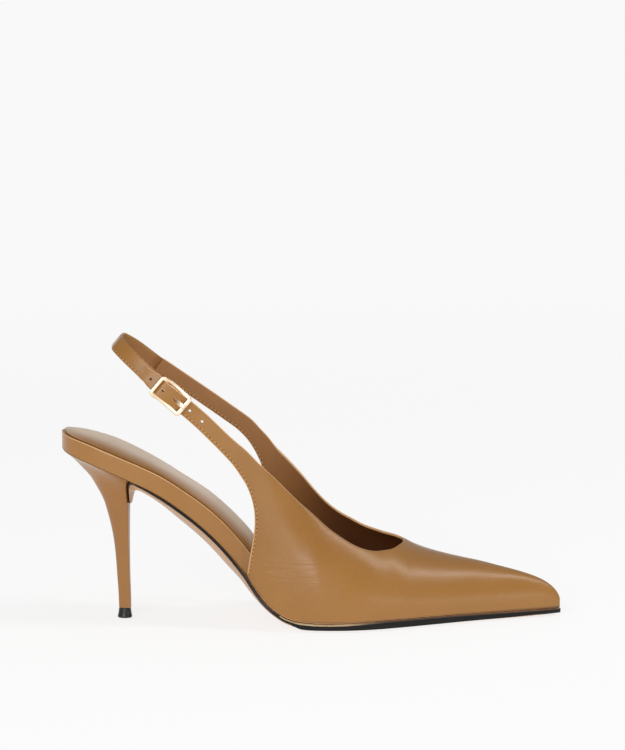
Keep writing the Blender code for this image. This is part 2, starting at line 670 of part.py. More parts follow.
HOLED_ROWS = (-1.0, -0.985, -0.94, -0.84, -0.72, -0.61, -0.52, -0.45, -0.39, -0.34, -0.27, -0.17,
              -0.08, 0.0, 0.09, 0.18, 0.27, 0.37, 0.47, 0.57, 0.67, 0.78, 0.90, 1.05, 1.22)
STUB_ROWS = (STUB_END, 0.194, 0.206, 0.218, 0.232, 0.248, 0.266, 0.284, 0.302, 0.322, 0.343)


def wing_rows(side, inner):
    """Rows of one side: strap rows hold only the uppermost columns, and the rest are full."""
    flare = FLARE[side]
    count = len(flare["row"]) - 1
    rows = []
    if side == "lateral":
        for share in HOLED_ROWS:
            tip = math.sqrt(max(0.0, 1 - ((share - FREE_END) / 0.1 - 1) ** 2)) if (
                share < FREE_END + 0.1) else 1.0
            narrow = (1 - max(tip, 0.45)) * STRAP_WIDTH / 2
            rows.append(holed_row(share * BUCKLE_LENGTH, inner, narrow))
    else:
        rows += [strap_row(side, station, inner) for station in STUB_ROWS[:-1]]
    rows += [flare_row(side, row, inner) for row in range(count)]
    back_edge = back_edge_row(side, inner)
    rows.append(back_edge)
    corner = read(WING, side, WING["height"][0])
    top_corner = flare["high"][count]
    for k, share in enumerate(WING_ROWS):
        low, high = mix(corner, THROAT, share), mix(top_corner, THROAT, share)
        fade = max(0.0, 1 - (k + 1) / 6) ** 1.5
        row = []
        for column in range(SIDE_COLUMNS + 1):
            v = column / SIDE_COLUMNS
            base = back_edge[column]
            bulge = (station_at(base.x) - mix(corner, top_corner, v)) * fade
            top = read(TOPLINE, side, high) * STRAP_HEIGHT
            spread = ((base.z - back_edge[0].z) / (back_edge[-1].z - back_edge[0].z),
                      (1 - share) ** 2.5)
            row.append(wall_point(side, low, high, top, column, inner, bulge, spread))
        rows.append(row)
    for station in (THROAT,) + VAMP_ROWS:
        rows.append([wall_point(side, station, station, None, column, inner)
                     for column in range(SIDE_COLUMNS + 1)])
    return rows


def make_upper(made):
    """Vamp, both wings, the holed strap and the stub on the inner side, in one open wall."""
    index = {}
    outer, inner = [], []
    vamp_count = len(VAMP_ROWS) + 1

    def number(side, rows_from_toe, column, points):
        """Both sides share the points on the ridge ahead of the throat."""
        if column == SIDE_COLUMNS and rows_from_toe < vamp_count:
            side = "ridge"
        key = (side, rows_from_toe, column)
        if key not in index:
            index[key] = len(outer)
            outer.append(points[0])
            inner.append(points[1])
        return index[key]

    sheet = []
    for side in ("lateral", "medial"):
        outside, inside = wing_rows(side, False), wing_rows(side, True)
        numbers = []
        for r, (a, b) in enumerate(zip(outside, inside)):
            first = SIDE_COLUMNS + 1 - len(a)
            from_toe = len(outside) - 1 - r
            numbers.append([None] * first + [number(side, from_toe, first + i, pair)
                                             for i, pair in enumerate(zip(a, b))])
        for low, high in zip(numbers, numbers[1:]):
            for column in range(SIDE_COLUMNS):
                face = (low[column], high[column], high[column + 1], low[column + 1])
                if None not in face:
                    sheet.append(face if side == "lateral" else face[::-1])
    arch = [index[("lateral", 0, c)] for c in range(SIDE_COLUMNS)] + [index[("ridge", 0, SIDE_COLUMNS)]]
    arch += [index[("medial", 0, c)] for c in range(SIDE_COLUMNS - 1, -1, -1)]
    sheet.append(tuple(arch[::-1]))

    count = len(outer)
    directed = {(face[i], face[(i + 1) % len(face)]) for face in sheet for i in range(len(face))}
    faces = list(sheet) + [tuple(i + count for i in face[::-1]) for face in sheet]
    faces += [(b, a, a + count, b + count) for a, b in directed if (b, a) not in directed]
    upper = add_object("upper", outer + inner, faces, made)
    punch_holes(upper)
    return upper


def punch_holes(upper):
    """Round holes in the strap, and a longer one that the prong has pulled."""
    cutter_faces, cutter_points = [], []
    sides = 12
    for hole in range(HOLES):
        distance = (hole - PRONG_HOLE) * HOLE_PITCH + 0.0036
        pull = PRONG_PULL if hole == PRONG_HOLE else 0.0
        base = len(cutter_points)
        for out in (-1.2 * WALL, 5.5 * WALL):
            for i in range(sides):
                angle = 2 * math.pi * i / sides
                along = math.cos(angle) * HOLE / 2
                cutter_points.append(strap_point(distance + along + math.copysign(pull, along),
                                                 math.sin(angle) * HOLE / 2, out))
        for i in range(sides):
            j = (i + 1) % sides
            cutter_faces.append((base + i, base + j, base + sides + j, base + sides + i))
        cutter_faces.append(tuple(range(base + sides - 1, base - 1, -1)))
        cutter_faces.append(tuple(range(base + sides, base + 2 * sides)))
    cutter = add_object("strap_hole_cutter", cutter_points, cutter_faces, upper.data.materials[0])
    cutter.hide_render = True
    cutter.display_type = "WIRE"
    cut = upper.modifiers.new("Strap holes", "BOOLEAN")
    cut.operation = "DIFFERENCE"
    cut.object = cutter


SLING = 0.0014             # thickness of the strap round the heel
SLING_TAB = 0.0007         # its end, thinned where it wraps the centre bar
# The loop round the heel, from its middle to the side: half width as a share of BALL_WIDTH
LOOP = table(
    "turn reach station",
    (0.00, 0.000, 0.1148), (0.25, 0.112, 0.1171), (0.50, 0.196, 0.1322), (0.75, 0.256, 0.1560),
    (1.00, 0.2955, 0.1825))
LOOP_ROWS = (0.0, 0.12, 0.24, 0.36, 0.48, 0.60, 0.72, 0.86, 1.0)
LAP_ROWS = ((0.187, 1.2), (0.196, 1.2), (0.208, 1.2), (0.220, 1.2), (0.2285, 1.2), (0.2300, 1.2))
SLING_EDGE = ((-1.0, 0.3), (-0.9, 0.0), (0.9, 0.0), (1.0, 0.3), (1.0, 0.7), (0.9, 1.0),
              (-0.9, 1.0), (-1.0, 0.7))


def loop_point(turn, offset, out):
    """Place on the loop round the heel: turn is -1 at the outer side and 1 at the inner side."""
    def base(t):
        side = "lateral" if t < 0 else "medial"
        station = read(LOOP, "station", abs(t))
        height = read(STRAP_SIDE[side], "height", station) * STRAP_HEIGHT
        reach = math.copysign(read(LOOP, "reach", abs(t)), t) * BALL_WIDTH
        return Vector((x_at(station), reach, height))

    step = 0.03
    along = (base(min(1.0, turn + step)) - base(max(-1.0, turn - step))).normalized()
    side = "lateral" if turn < 0 else "medial"
    station = read(LOOP, "station", abs(turn))
    across = mix(strap_line("lateral", 0.15)[2], strap_line(side, station)[2], abs(turn))
    across = (across - along * across.dot(along)).normalized()
    normal = along.cross(across)
    if normal.x > 0 or (abs(turn) > 0.5 and normal.y * turn < 0):
        normal = -normal
    return base(turn) + across * offset + normal * out


def lap_point(station, offset, out):
    """Place on the inner strap beside the ankle."""
    middle, _, across = strap_line("medial", station)
    point = middle + across * offset
    point.y = section("medial", station_at(point.x), point.z, True)
    return point + outward("medial", station) * out


def hook_rings():
    """The sling's end, wrapped round the buckle's centre bar: over it, round and back under."""
    bar = CENTRE_BAR_PLACE * BUCKLE_LENGTH
    level = CENTRE_BAR_OUT * WALL
    radius = CENTRE_WIRE / 2 + GAP
    path = [(bar - 1.5 * radius, level + radius, 1), (bar - 0.8 * radius, level + radius, 1)]
    turns = 8
    for i in range(turns + 1):
        angle = math.pi / 2 - math.pi * i / turns
        path.append((bar + radius * math.cos(angle), level + radius * math.sin(angle), angle))
    path.append((bar - 1.5 * radius, level - radius, -1))
    rings = []
    for along, out, angle in path:
        if angle == 1:
            lift = (0.0, 1.0)
        elif angle == -1:
            lift = (0.0, -1.0)
        else:
            lift = (math.cos(angle), math.sin(angle))
        ring = []
        for across, height in SLING_EDGE:
            ring.append(strap_point(along + lift[0] * SLING_TAB * height,
                                    across * STRAP_WIDTH / 2,
                                    out + lift[1] * SLING_TAB * height))
        rings.append(ring)
    return rings


def make_sling(made):
    """Strap round the heel: hooked to the buckle outside, lapped over the wing's strap inside."""
    rings = hook_rings()
    under = CENTRE_BAR_OUT * WALL - CENTRE_WIRE / 2 - GAP
    bar = CENTRE_BAR_PLACE * BUCKLE_LENGTH
    for share, low, thick in ((-2.6, 0.6, 0.75), (-4.0, 0.25, 0.9), (-5.6, 0.0, 1.0)):
        distance = bar + share * CENTRE_WIRE
        body = mix(SLING_TAB, SLING, (thick - 0.5) / 0.5)
        base = (under - SLING_TAB) * low
        ring = [strap_point(distance, across * STRAP_WIDTH / 2, base + (1 - height) * body)
                for across, height in SLING_EDGE]
        rings.append(ring)
    for t in [-t for t in LOOP_ROWS[::-1]] + list(LOOP_ROWS[1:-1]):
        rings.append([loop_point(t, across * STRAP_WIDTH / 2, (1 - height) * SLING)
                      for across, height in SLING_EDGE])
    for station, out in LAP_ROWS:
        narrow = 0.8 if station == LAP_ROWS[-1][0] else 1.0
        rings.append([lap_point(station, across * narrow * STRAP_WIDTH / 2,
                                out * WALL + (1 - height) * SLING)
                      for across, height in SLING_EDGE])
    sling = loft("sling_strap", rings, made)
    middle = strap_point(bar, 0.0, 0.0)
    along = (strap_point(bar + GAP, 0.0, 0.0) - strap_point(bar - GAP, 0.0, 0.0)).normalized()
    across = strap_line("lateral", strap_place(bar))[2]
    normal = across.cross(along).normalized()
    if normal.y > 0:
        normal = -normal
    across = normal.cross(along)
    box = [middle + along * u * PRONG_WIRE + across * w * PRONG_WIRE + normal * out * WALL
           for out in (-1.0, 4.0) for u, w in ((-2.2, -1), (2.6, -1), (2.6, 1), (-2.2, 1))]
    cut_with(sling, "prong_slot_cutter", box, BOX_FACES, "Prong slot")
    return sling


BOX_FACES = ((0, 1, 2, 3), (4, 7, 6, 5), (0, 4, 5, 1), (1, 5, 6, 2), (2, 6, 7, 3), (3, 7, 4, 0))


def cut_with(thing, name, points, faces, label, operation="DIFFERENCE"):
    cutter = add_object(name, points, faces, thing.data.materials[0])
    cutter.hide_render = True
    cutter.display_type = "WIRE"
    cut = thing.modifiers.new(label, "BOOLEAN")
    cut.operation = operation
    cut.object = cutter


def tube_rings(path, radius, sides, closed):
    """Rings round a bent wire; every ring carries on the turn of the one before."""
    rings = []
    count = len(path)
    normal = None
    for i, point in enumerate(path):
        ahead = path[(i + 1) % count] if closed or i < count - 1 else point
        behind = path[i - 1] if closed or i > 0 else point
        along = (ahead - behind).normalized()
        if normal is None:
            normal = along.orthogonal()
        normal = (normal - along * normal.dot(along)).normalized()
        other = along.cross(normal)
        rings.append([point + (normal * math.cos(a) + other * math.sin(a)) * radius
                      for a in (2 * math.pi * k / sides for k in range(sides))])
    return rings


# Rails of the buckle along the strap, in buckle lengths, and their height in shares of WALL
RAIL = table(
    "along out",
    (-0.46, 3.55), (-0.37, 3.40), (-0.26, 2.20), (-0.14, 1.75), (0.03, 1.65), (0.20, 1.85),
    (0.37, 2.40), (0.46, 2.48))
BUCKLE_CORNER = 0.13       # corner radius, as a share of its length
WIRE_SIDES = 8


def make_buckle(made):
    """Open frame with rounded corners and a lower bar across it."""
    half_length = (BUCKLE_LENGTH - BUCKLE_WIRE) / 2
    half_width = (BUCKLE_WIDTH - BUCKLE_WIRE) / 2
    corner = BUCKLE_CORNER * BUCKLE_LENGTH
    outline = []
    for sx, sy, start in ((1, 1, 0), (-1, 1, 90), (-1, -1, 180), (1, -1, 270)):
        for i in range(6):
            angle = math.radians(start + 90 * i / 5)
            outline.append((sx * (half_length - corner) + corner * math.cos(angle),
                            sy * (half_width - corner) + corner * math.sin(angle)))
        if start in (0, 180):
            rail = (0.22, 0.08, -0.06, -0.17, -0.26)
            for share in rail if sy > 0 else rail[::-1]:
                outline.append((share * BUCKLE_LENGTH, sy * half_width))
    path = [strap_point(u, w, read(RAIL, "out", u / BUCKLE_LENGTH) * WALL) for u, w in outline]
    rings = tube_rings(path, BUCKLE_WIRE / 2, WIRE_SIDES, True)
    buckle = loft("buckle_frame", rings + [rings[0]], made, cap_first=False, cap_last=False)
    ends = [strap_point(CENTRE_BAR_PLACE * BUCKLE_LENGTH, w, out * WALL)
            for w, out in ((-half_width, read(RAIL, "out", CENTRE_BAR_PLACE)),
                           (-half_width * 0.86, CENTRE_BAR_OUT), (0.0, CENTRE_BAR_OUT),
                           (half_width * 0.86, CENTRE_BAR_OUT),
                           (half_width, read(RAIL, "out", CENTRE_BAR_PLACE)))]
    rings = tube_rings(ends, CENTRE_WIRE / 2, WIRE_SIDES, False)
    points = [point for ring in rings for point in ring]
    faces = [(r * WIRE_SIDES + i, r * WIRE_SIDES + (i + 1) % WIRE_SIDES,
              (r + 1) * WIRE_SIDES + (i + 1) % WIRE_SIDES, (r + 1) * WIRE_SIDES + i)
             for r in range(len(rings) - 1) for i in range(WIRE_SIDES)]
    faces += [tuple(range(WIRE_SIDES))[::-1],
              tuple(range((len(rings) - 1) * WIRE_SIDES, len(rings) * WIRE_SIDES))]
    cut_with(buckle, "centre_bar", points, faces, "Centre bar", "UNION")
    return buckle


# Prong from the centre bar to its tip on the end bar: buckle lengths along, height in WALL
PRONG = ((-0.17, 2.12), (-0.09, 1.95), (0.00, 1.78), (0.09, 1.66), (0.15, 1.76), (0.205, 2.12),
         (0.255, 2.52), (0.31, 2.90), (0.38, 3.24), (0.46, 3.42), (0.535, 3.34))


def make_prong(made):
    bar = CENTRE_BAR_PLACE * BUCKLE_LENGTH
    level = CENTRE_BAR_OUT * WALL
    radius = CENTRE_WIRE / 2 + GAP + PRONG_WIRE / 2
    places = []
    turns = 14
    for i in range(turns + 1):
        angle = math.radians(-15 - 255 * i / turns)
        places.append((bar + radius * math.cos(angle), level + radius * math.sin(angle)))
    places += [(along * BUCKLE_LENGTH, out * WALL) for along, out in PRONG]
    path = [strap_point(along, 0.0, out) for along, out in places]
    rings = tube_rings(path, PRONG_WIRE / 2, 8, False)
    return loft("buckle_prong", rings, made)


def clear_scene():
    for thing in list(bpy.data.objects):
        bpy.data.objects.remove(thing, do_unlink=True)


def main():
    clear_scene()
    tan = (0.392, 0.196, 0.067)
    brass = (0.86, 0.70, 0.42)
    make_outsole(material("Outsole leather", (0.40, 0.25, 0.15), 0.5))
    make_board(material("Cover leather", tan, 0.42))
    make_sock(material("Sock leather", (0.40, 0.21, 0.08), 0.38))
    make_heel(material("Heel leather", tan, 0.42))
    make_top_lift(material("Top lift", (0.012, 0.012, 0.013), 0.5))
    make_upper(material("Upper leather", tan, 0.42))
    make_sling(material("Strap leather", tan, 0.42))
    make_buckle(material("Buckle", brass, 0.22, 1.0))
    make_prong(material("Prong", brass, 0.22, 1.0))


main()
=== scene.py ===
"""Studio scene of a slingback pump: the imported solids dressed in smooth, finished pieces.

Every piece stands on the CAD model's own sizes and tables, in metres and in the same frame:
+X to the toe, +Y to the inner side of the foot, +Z up. Stations run from the heel, 0, to the
tip of the toe, 1.
"""
import math
from bisect import bisect_right

import bmesh
import bpy
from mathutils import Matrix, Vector
from mathutils.bvhtree import BVHTree


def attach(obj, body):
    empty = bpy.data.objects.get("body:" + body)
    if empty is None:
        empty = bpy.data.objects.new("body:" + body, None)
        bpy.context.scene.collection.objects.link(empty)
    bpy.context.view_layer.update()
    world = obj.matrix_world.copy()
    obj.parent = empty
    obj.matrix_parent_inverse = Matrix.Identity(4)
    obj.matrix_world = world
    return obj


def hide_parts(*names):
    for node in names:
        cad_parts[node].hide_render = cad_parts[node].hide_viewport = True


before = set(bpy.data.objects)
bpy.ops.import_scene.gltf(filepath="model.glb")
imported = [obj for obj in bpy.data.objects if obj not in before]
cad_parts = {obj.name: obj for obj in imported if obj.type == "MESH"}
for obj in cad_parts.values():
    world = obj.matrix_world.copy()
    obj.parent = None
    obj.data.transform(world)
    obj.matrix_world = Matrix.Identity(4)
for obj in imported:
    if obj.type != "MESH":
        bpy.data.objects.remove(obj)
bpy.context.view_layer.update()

# Driving dimensions, in metres
LENGTH = 0.2466            # back of the seat to the tip of the toe, level
BALL_WIDTH = 0.0745        # widest part of the sole
HEEL_HEIGHT = 0.0843       # floor to the top of the heel at its back
THROAT_HEIGHT = 0.0386     # floor to the vamp's top edge on the instep
STRAP_HEIGHT = 0.1380      # floor to the middle of the strap behind the heel
STRAP_WIDTH = 0.0079
WALL = 0.0015              # leather and lining together
SOLE_BED = 0.0040          # top of the outsole over the floor at the ball
WAIST_EDGE = 0.0018        # outsole's edge in the waist
EDGE_RISE = 0.0010         # outsole's lower edge over the tread
WAIST_CROWN = 0.0046       # bulge of the outsole's underside in the waist
TOE_SPRING = 0.0012
MEDIAL_LIFT = 0.0026       # inner side of the bed over the outer side, under the arch
RAND_HEIGHT = 0.0096       # covered insole board at the heel
SOCK = 0.0009              # padded sock on the board
SOCK_MARGIN = 0.0016       # board left bare round the sock
TOP_LIFT_HEIGHT = 0.0047
TOP_LIFT_LENGTH = 0.0075
BUCKLE_LENGTH = 0.0181
BUCKLE_WIDTH = 0.0118
CENTRE_WIRE = 0.0012
PRONG_WIRE = 0.0009
HOLE = 0.0014
HOLE_PITCH = 0.0079
HOLES = 5
PRONG_HOLE = 2             # counted from the strap's free end, from 0
PRONG_PLACE = 0.0036       # its hole along the strap from the buckle's middle
PRONG_PULL = 0.0010        # how far the prong has drawn its hole out each way
GAP = 0.0003               # clearance between pieces that meet
SEAM = 0.00008             # what is left open where a finished piece meets the next
SOCK_CROWN = 0.0009        # padded middle of the sock over its edges
STEP = 0.004               # stations to each side over which a slope is taken

# Where the tread touches the floor, as stations
TREAD_CENTRE = 0.531
TREAD_BACK = 0.476
TREAD_FRONT = 0.61


def table(names, *rows):
    """Named columns from a short table with one row for each station."""
    return {name: [row[i] for row in rows] for i, name in enumerate(names.split())}


def read(columns, name, at):
    """A column's value at a place in the first column, on a smooth curve that never overshoots."""
    xs = next(iter(columns.values()))
    ys = columns[name]
    if at <= xs[0]:
        return ys[0]
    if at >= xs[-1]:
        return ys[-1]
    steps = [b - a for a, b in zip(xs, xs[1:])]
    slopes = [(b - a) / h for a, b, h in zip(ys, ys[1:], steps)]

    def tangent(k):
        if k == 0:
            return slopes[0]
        if k == len(slopes):
            return slopes[-1]
        before, after = slopes[k - 1], slopes[k]
        if before * after <= 0:
            return 0.0
        w1 = 2 * steps[k] + steps[k - 1]
        w2 = steps[k] + 2 * steps[k - 1]
        return (w1 + w2) / (w1 / before + w2 / after)

    i = bisect_right(xs, at) - 1
    h = steps[i]
    t = (at - xs[i]) / h
    return ((1 + 2 * t) * (1 - t) ** 2 * ys[i] + t * (1 - t) ** 2 * h * tangent(i)
            + t * t * (3 - 2 * t) * ys[i + 1] + t * t * (t - 1) * h * tangent(i + 1))


def mix(a, b, t):
    return a + (b - a) * t


def ease(t):
    t = min(1.0, max(0.0, t))
    return t * t * (3 - 2 * t)


def denser(values):
    """The same rows with one more between each two."""
    result = []
    for a, b in zip(values, values[1:]):
        result += [a, (a + b) / 2]
    return tuple(result + [values[-1]])


# Outline of the sole from above, as shares of BALL_WIDTH from the middle line
PLAN = table(
    "station lateral medial",
    (0.0, 0.0, 0.0), (0.006, 0.121, 0.121), (0.02, 0.208, 0.208), (0.045, 0.279, 0.279),
    (0.085, 0.333, 0.33), (0.13, 0.349, 0.344), (0.19, 0.344, 0.33), (0.26, 0.319, 0.295),
    (0.33, 0.319, 0.271), (0.385, 0.357, 0.295), (0.43, 0.411, 0.354), (0.48, 0.464, 0.424),
    (0.52, 0.491, 0.47), (0.56, 0.491, 0.499), (0.61, 0.462, 0.502), (0.67, 0.395, 0.467),
    (0.74, 0.301, 0.395), (0.81, 0.207, 0.309), (0.87, 0.132, 0.234), (0.92, 0.072, 0.172),
    (0.96, 0.027, 0.126), (0.985, -0.008, 0.094), (0.995, -0.024, 0.072), (1.0, -0.043, 0.043))

# Top of the outsole on the outer side: arch rises with HEEL_HEIGHT, spring with TOE_SPRING,
# lift with MEDIAL_LIFT, crown with WAIST_CROWN
BED = table(
    "station arch spring lift crown",
    (0.0, 1.018, 0.0, 0.0, 0.7), (0.043, 0.976, 0.0, 0.0, 0.7), (0.083, 0.929, 0.0, 0.0, 0.7),
    (0.122, 0.879, 0.0, 0.0, 0.7), (0.152, 0.838, 0.0, 0.0, 0.7), (0.185, 0.787, 0.0, 0.0, 0.82),
    (0.21, 0.74, 0.0, 0.0, 0.92), (0.255, 0.636, 0.0, 0.0, 1.12), (0.28, 0.573, 0.0, 0.1, 1.14),
    (0.31, 0.487, 0.0, 0.3, 1.16), (0.33, 0.42, 0.0, 0.5, 1.18), (0.351, 0.342, 0.0, 0.8, 1.14),
    (0.372, 0.259, 0.0, 1.0, 0.92), (0.39, 0.174, 0.0, 1.0, 0.74), (0.406, 0.112, 0.0, 0.9, 0.56),
    (0.426, 0.061, 0.0, 0.6, 0.4), (0.45, 0.021, 0.0, 0.2, 0.3), (0.48, 0.004, 0.0, 0.0, 0.26),
    (0.53, 0.0, 0.0, 0.0, 0.26), (0.58, 0.0, 0.3, 0.0, 0.26), (0.64, 0.0, 0.65, 0.0, 0.26),
    (0.7, 0.0, 0.68, 0.0, 0.26), (0.76, 0.0, 0.55, 0.0, 0.26), (0.89, 0.0, 0.02, 0.0, 0.26),
    (1.0, 0.0, -0.26, 0.0, 0.26))

# Height of the covered board over the bed, as shares of RAND_HEIGHT, and how far its side
# stands in from the sole's, as shares of the upper's wall and clearance together
RAND = table(
    "station height drop inset",
    (0.0, 0.84, 0.02, 0.1), (0.02, 0.86, 0.05, 0.1), (0.06, 0.93, 0.07, 0.1),
    (0.1, 0.955, 0.04, 0.1), (0.15, 0.96, 0.09, 0.1), (0.185, 1.0, 0.15, 0.1),
    (0.212, 1.036, 0.18, 0.1), (0.23, 1.06, 0.15, 0.1), (0.26, 1.12, 0.07, 0.1),
    (0.295, 1.22, 0.04, 0.1), (0.33, 1.31, 0.05, 0.2), (0.358, 1.37, 0.06, 0.7),
    (0.371, 1.4, 0.06, 1.1), (0.4, 1.5, 0.04, 1.1), (0.422, 1.35, 0.02, 1.1),
    (0.446, 1.11, 0.0, 1.1), (0.47, 0.8, 0.0, 1.1), (0.495, 0.54, 0.0, 1.1),
    (0.52, 0.4, 0.0, 1.1), (0.55, 0.33, 0.0, 1.1), (1.0, 0.33, 0.0, 1.1))

# The last over the feather line: girth is the half width a little higher up and ridge_side the
# ridge's place, both as shares of BALL_WIDTH, and ridge its height as a share of THROAT_HEIGHT
LAST = table(
    "station lateral medial ridge_side ridge",
    (0.12, 0.215, 0.215, 0.0, 11.0), (0.15, 0.27, 0.27, 0.0, 11.0),
    (0.1825, 0.317, 0.313, 0.0, 11.0), (0.223, 0.339, 0.337, 0.0, 10.8),
    (0.284, 0.354, 0.351, 0.0, 10.0), (0.345, 0.37, 0.36, 0.01, 8.5),
    (0.385, 0.392, 0.37, 0.02, 6.2), (0.406, 0.411, 0.381, 0.03, 4.92),
    (0.43, 0.435, 0.397, 0.04, 3.63), (0.454, 0.459, 0.421, 0.04, 2.8),
    (0.48, 0.483, 0.448, 0.05, 2.23), (0.52, 0.507, 0.489, 0.05, 1.74),
    (0.56, 0.505, 0.515, 0.05, 1.46), (0.61, 0.475, 0.518, 0.05, 1.24),
    (0.65, 0.43, 0.497, 0.05, 1.09), (0.667, 0.412, 0.483, 0.048, 1.048),
    (0.684, 0.39, 0.467, 0.047, 1.0), (0.7, 0.366, 0.45, 0.047, 0.944),
    (0.74, 0.311, 0.405, 0.047, 0.852), (0.77, 0.27, 0.366, 0.047, 0.803),
    (0.81, 0.215, 0.316, 0.046, 0.748), (0.837, 0.182, 0.282, 0.046, 0.713),
    (0.87, 0.138, 0.24, 0.046, 0.658), (0.904, 0.096, 0.197, 0.045, 0.604),
    (0.938, 0.058, 0.156, 0.045, 0.538), (0.965, 0.024, 0.123, 0.044, 0.464),
    (0.985, -0.004, 0.096, 0.043, 0.368), (0.995, -0.02, 0.078, 0.043, 0.28),
    (1.0, -0.034, 0.056, 0.043, 0.19))

# Top edge of the vamp and wings, as shares of STRAP_HEIGHT
THROAT = 0.684
TOPLINE = table(
    "station lateral medial",
    (0.34, 0.685, 0.725), (0.371, 0.641, 0.68), (0.403, 0.58, 0.625), (0.431, 0.533, 0.58),
    (0.454, 0.49, 0.54), (0.48, 0.444, 0.491), (0.505, 0.404, 0.437), (0.53, 0.361, 0.39),
    (0.555, 0.328, 0.3555), (0.58, 0.2995, 0.332), (0.605, 0.2795, 0.308), (0.63, 0.27, 0.2955),
    (0.655, 0.2695, 0.2885), (0.67, 0.2755, 0.2855), (0.677, 0.2785, 0.282),
    (0.684, 0.2795, 0.2795))

# Back edge of each wing from the sole up to the strap: stations, and heights as shares of
# STRAP_HEIGHT
WING = table(
    "height lateral medial",
    (0.19, 0.3706, 0.386), (0.216, 0.3735, 0.388), (0.262, 0.3775, 0.391), (0.312, 0.3828, 0.396),
    (0.348, 0.3856, 0.399), (0.377, 0.3872, 0.401), (0.412, 0.3868, 0.402), (0.448, 0.3838, 0.401),
    (0.487, 0.3776, 0.3995), (0.525, 0.368, 0.3965))

# Strap's lower and upper edge where it widens into each wing, from the strap down: stations,
# and heights as shares of STRAP_HEIGHT
FLARE = {
    "lateral": table(
        "row low low_height high high_height",
        (0, 0.313, 0.6475, 0.3358, 0.6885), (1, 0.33, 0.6155, 0.353, 0.662),
        (2, 0.3445, 0.587, 0.369, 0.6385), (3, 0.357, 0.5555, 0.383, 0.613),
        (4, 0.368, 0.525, 0.399, 0.584)),
    "medial": table(
        "row low low_height high high_height",
        (0, 0.344, 0.661, 0.363, 0.707), (1, 0.359, 0.636, 0.379, 0.6845),
        (2, 0.3725, 0.607, 0.393, 0.6555), (3, 0.385, 0.57, 0.407, 0.63),
        (4, 0.3965, 0.525, 0.422, 0.595)),
}

# Middle line of the strap beside the ankle: stations, heights as shares of STRAP_HEIGHT
STRAP_SIDE = {
    "lateral": table(
        "station height",
        (0.112, 1.002), (0.14, 0.96), (0.182, 0.896), (0.225, 0.831), (0.264, 0.7705),
        (0.3, 0.712), (0.3244, 0.6685)),
    "medial": table(
        "station height",
        (0.112, 1.002), (0.14, 0.964), (0.182, 0.901), (0.225, 0.8455), (0.264, 0.797),
        (0.3, 0.752), (0.3535, 0.6835)),
}
STUB_END = 0.190           # station where the inner wing's strap stops under the sling

# Heel: front height and widths from the floor to the seat. Heights are shares of HEEL_HEIGHT,
# back and front are stations, side is a share of BALL_WIDTH, and tilt is how far the row has
# turned from level to the seat
HEEL = table(
    "height back front side tilt",
    (0.064, 0.1116, 0.1364, 0.037, 0.0), (0.15, 0.1107, 0.136, 0.041, 0.0),
    (0.245, 0.1086, 0.135, 0.047, 0.0), (0.365, 0.1061, 0.1346, 0.056, 0.0),
    (0.48, 0.1017, 0.1346, 0.066, 0.02), (0.58, 0.0945, 0.135, 0.079, 0.06),
    (0.668, 0.0858, 0.1358, 0.094, 0.13), (0.676, 0.085, 0.134, 0.096, 0.14),
    (0.72, 0.0772, 0.134, 0.108, 0.22), (0.76, 0.0672, 0.1342, 0.126, 0.34),
    (0.795, 0.0554, 0.1354, 0.156, 0.5), (0.82, 0.0378, 0.1392, 0.2, 0.68),
    (0.838, 0.0208, 0.1452, 0.262, 0.86), (0.848, 0.006, 0.149, 0.33, 1.0))

# Tongue of the outsole down the heel's breast, from its end up to the waist. Each place is a
# station and a height in shares of HEEL_HEIGHT: glue for the hidden face, edge and middle for
# the outer face. side is the half width as a share of BALL_WIDTH
TONGUE = table(
    "row glue glue_height edge edge_height middle middle_height side",
    (0, 0.1357, 0.68, 0.1388, 0.68, 0.1396, 0.68, 0.068),
    (1, 0.1357, 0.715, 0.1392, 0.706, 0.141, 0.7, 0.084),
    (2, 0.1355, 0.75, 0.1398, 0.738, 0.1422, 0.718, 0.104),
    (3, 0.1354, 0.788, 0.1408, 0.77, 0.1436, 0.733, 0.134),
    (4, 0.1378, 0.82, 0.143, 0.794, 0.1452, 0.75, 0.18),
    (5, 0.1436, 0.842, 0.1478, 0.8045, 0.1478, 0.764, 0.245),
    (6, 0.152, 0.8435, 0.1545, 0.809, 0.1513, 0.7715, 0.322))

WAIST_ROWS = (0.225, 0.25, 0.275, 0.3, 0.325, 0.345, 0.362, 0.377, 0.39, 0.402, 0.414, 0.428,
              0.444, 0.46, TREAD_BACK)
SOLE_ROWS = denser((0.165, 0.18, 0.2) + WAIST_ROWS + (
    TREAD_CENTRE, TREAD_FRONT, 0.65, 0.7, 0.75, 0.8, 0.85, 0.89, 0.925, 0.953, 0.973, 0.986,
    0.994, 0.998, 1.0))
SOLE_ACROSS = (-1.0, -0.985, -0.93, -0.78, -0.62, -0.47, -0.32, -0.16, 0.0, 0.16, 0.32, 0.47,
               0.62, 0.78, 0.93, 0.985, 1.0)
FLAT_SHARE = 0.62          # flat part of the tread, as a share of the half width
FLAT_START = 0.40          # station where the waist's round underside starts to flatten
TREAD_DEEPER = 1.35        # depth of the sole at the tread's back over the waist's
TREAD_SPRING = 0.0005      # tread over the floor at the tip of the toe
TIP_RISE = 0.0011          # further rise of the tread's last stretch, from TIP_START on
TIP_START = 0.88

BOARD_ROWS = denser((0.0, 0.0015, 0.006, 0.013, 0.023, 0.038, 0.06, 0.085, 0.12, 0.165, 0.2)
                    + WAIST_ROWS + (0.5, TREAD_CENTRE, TREAD_FRONT, 0.68, 0.75, 0.82, 0.88,
                                    0.925, 0.96, 0.985, 1.0))
BOARD_ENDS = 0.1           # share of the length over which its rows are drawn in at each end
BOARD_ROUND = 0.0007       # rolled top edge of the board and of the sock

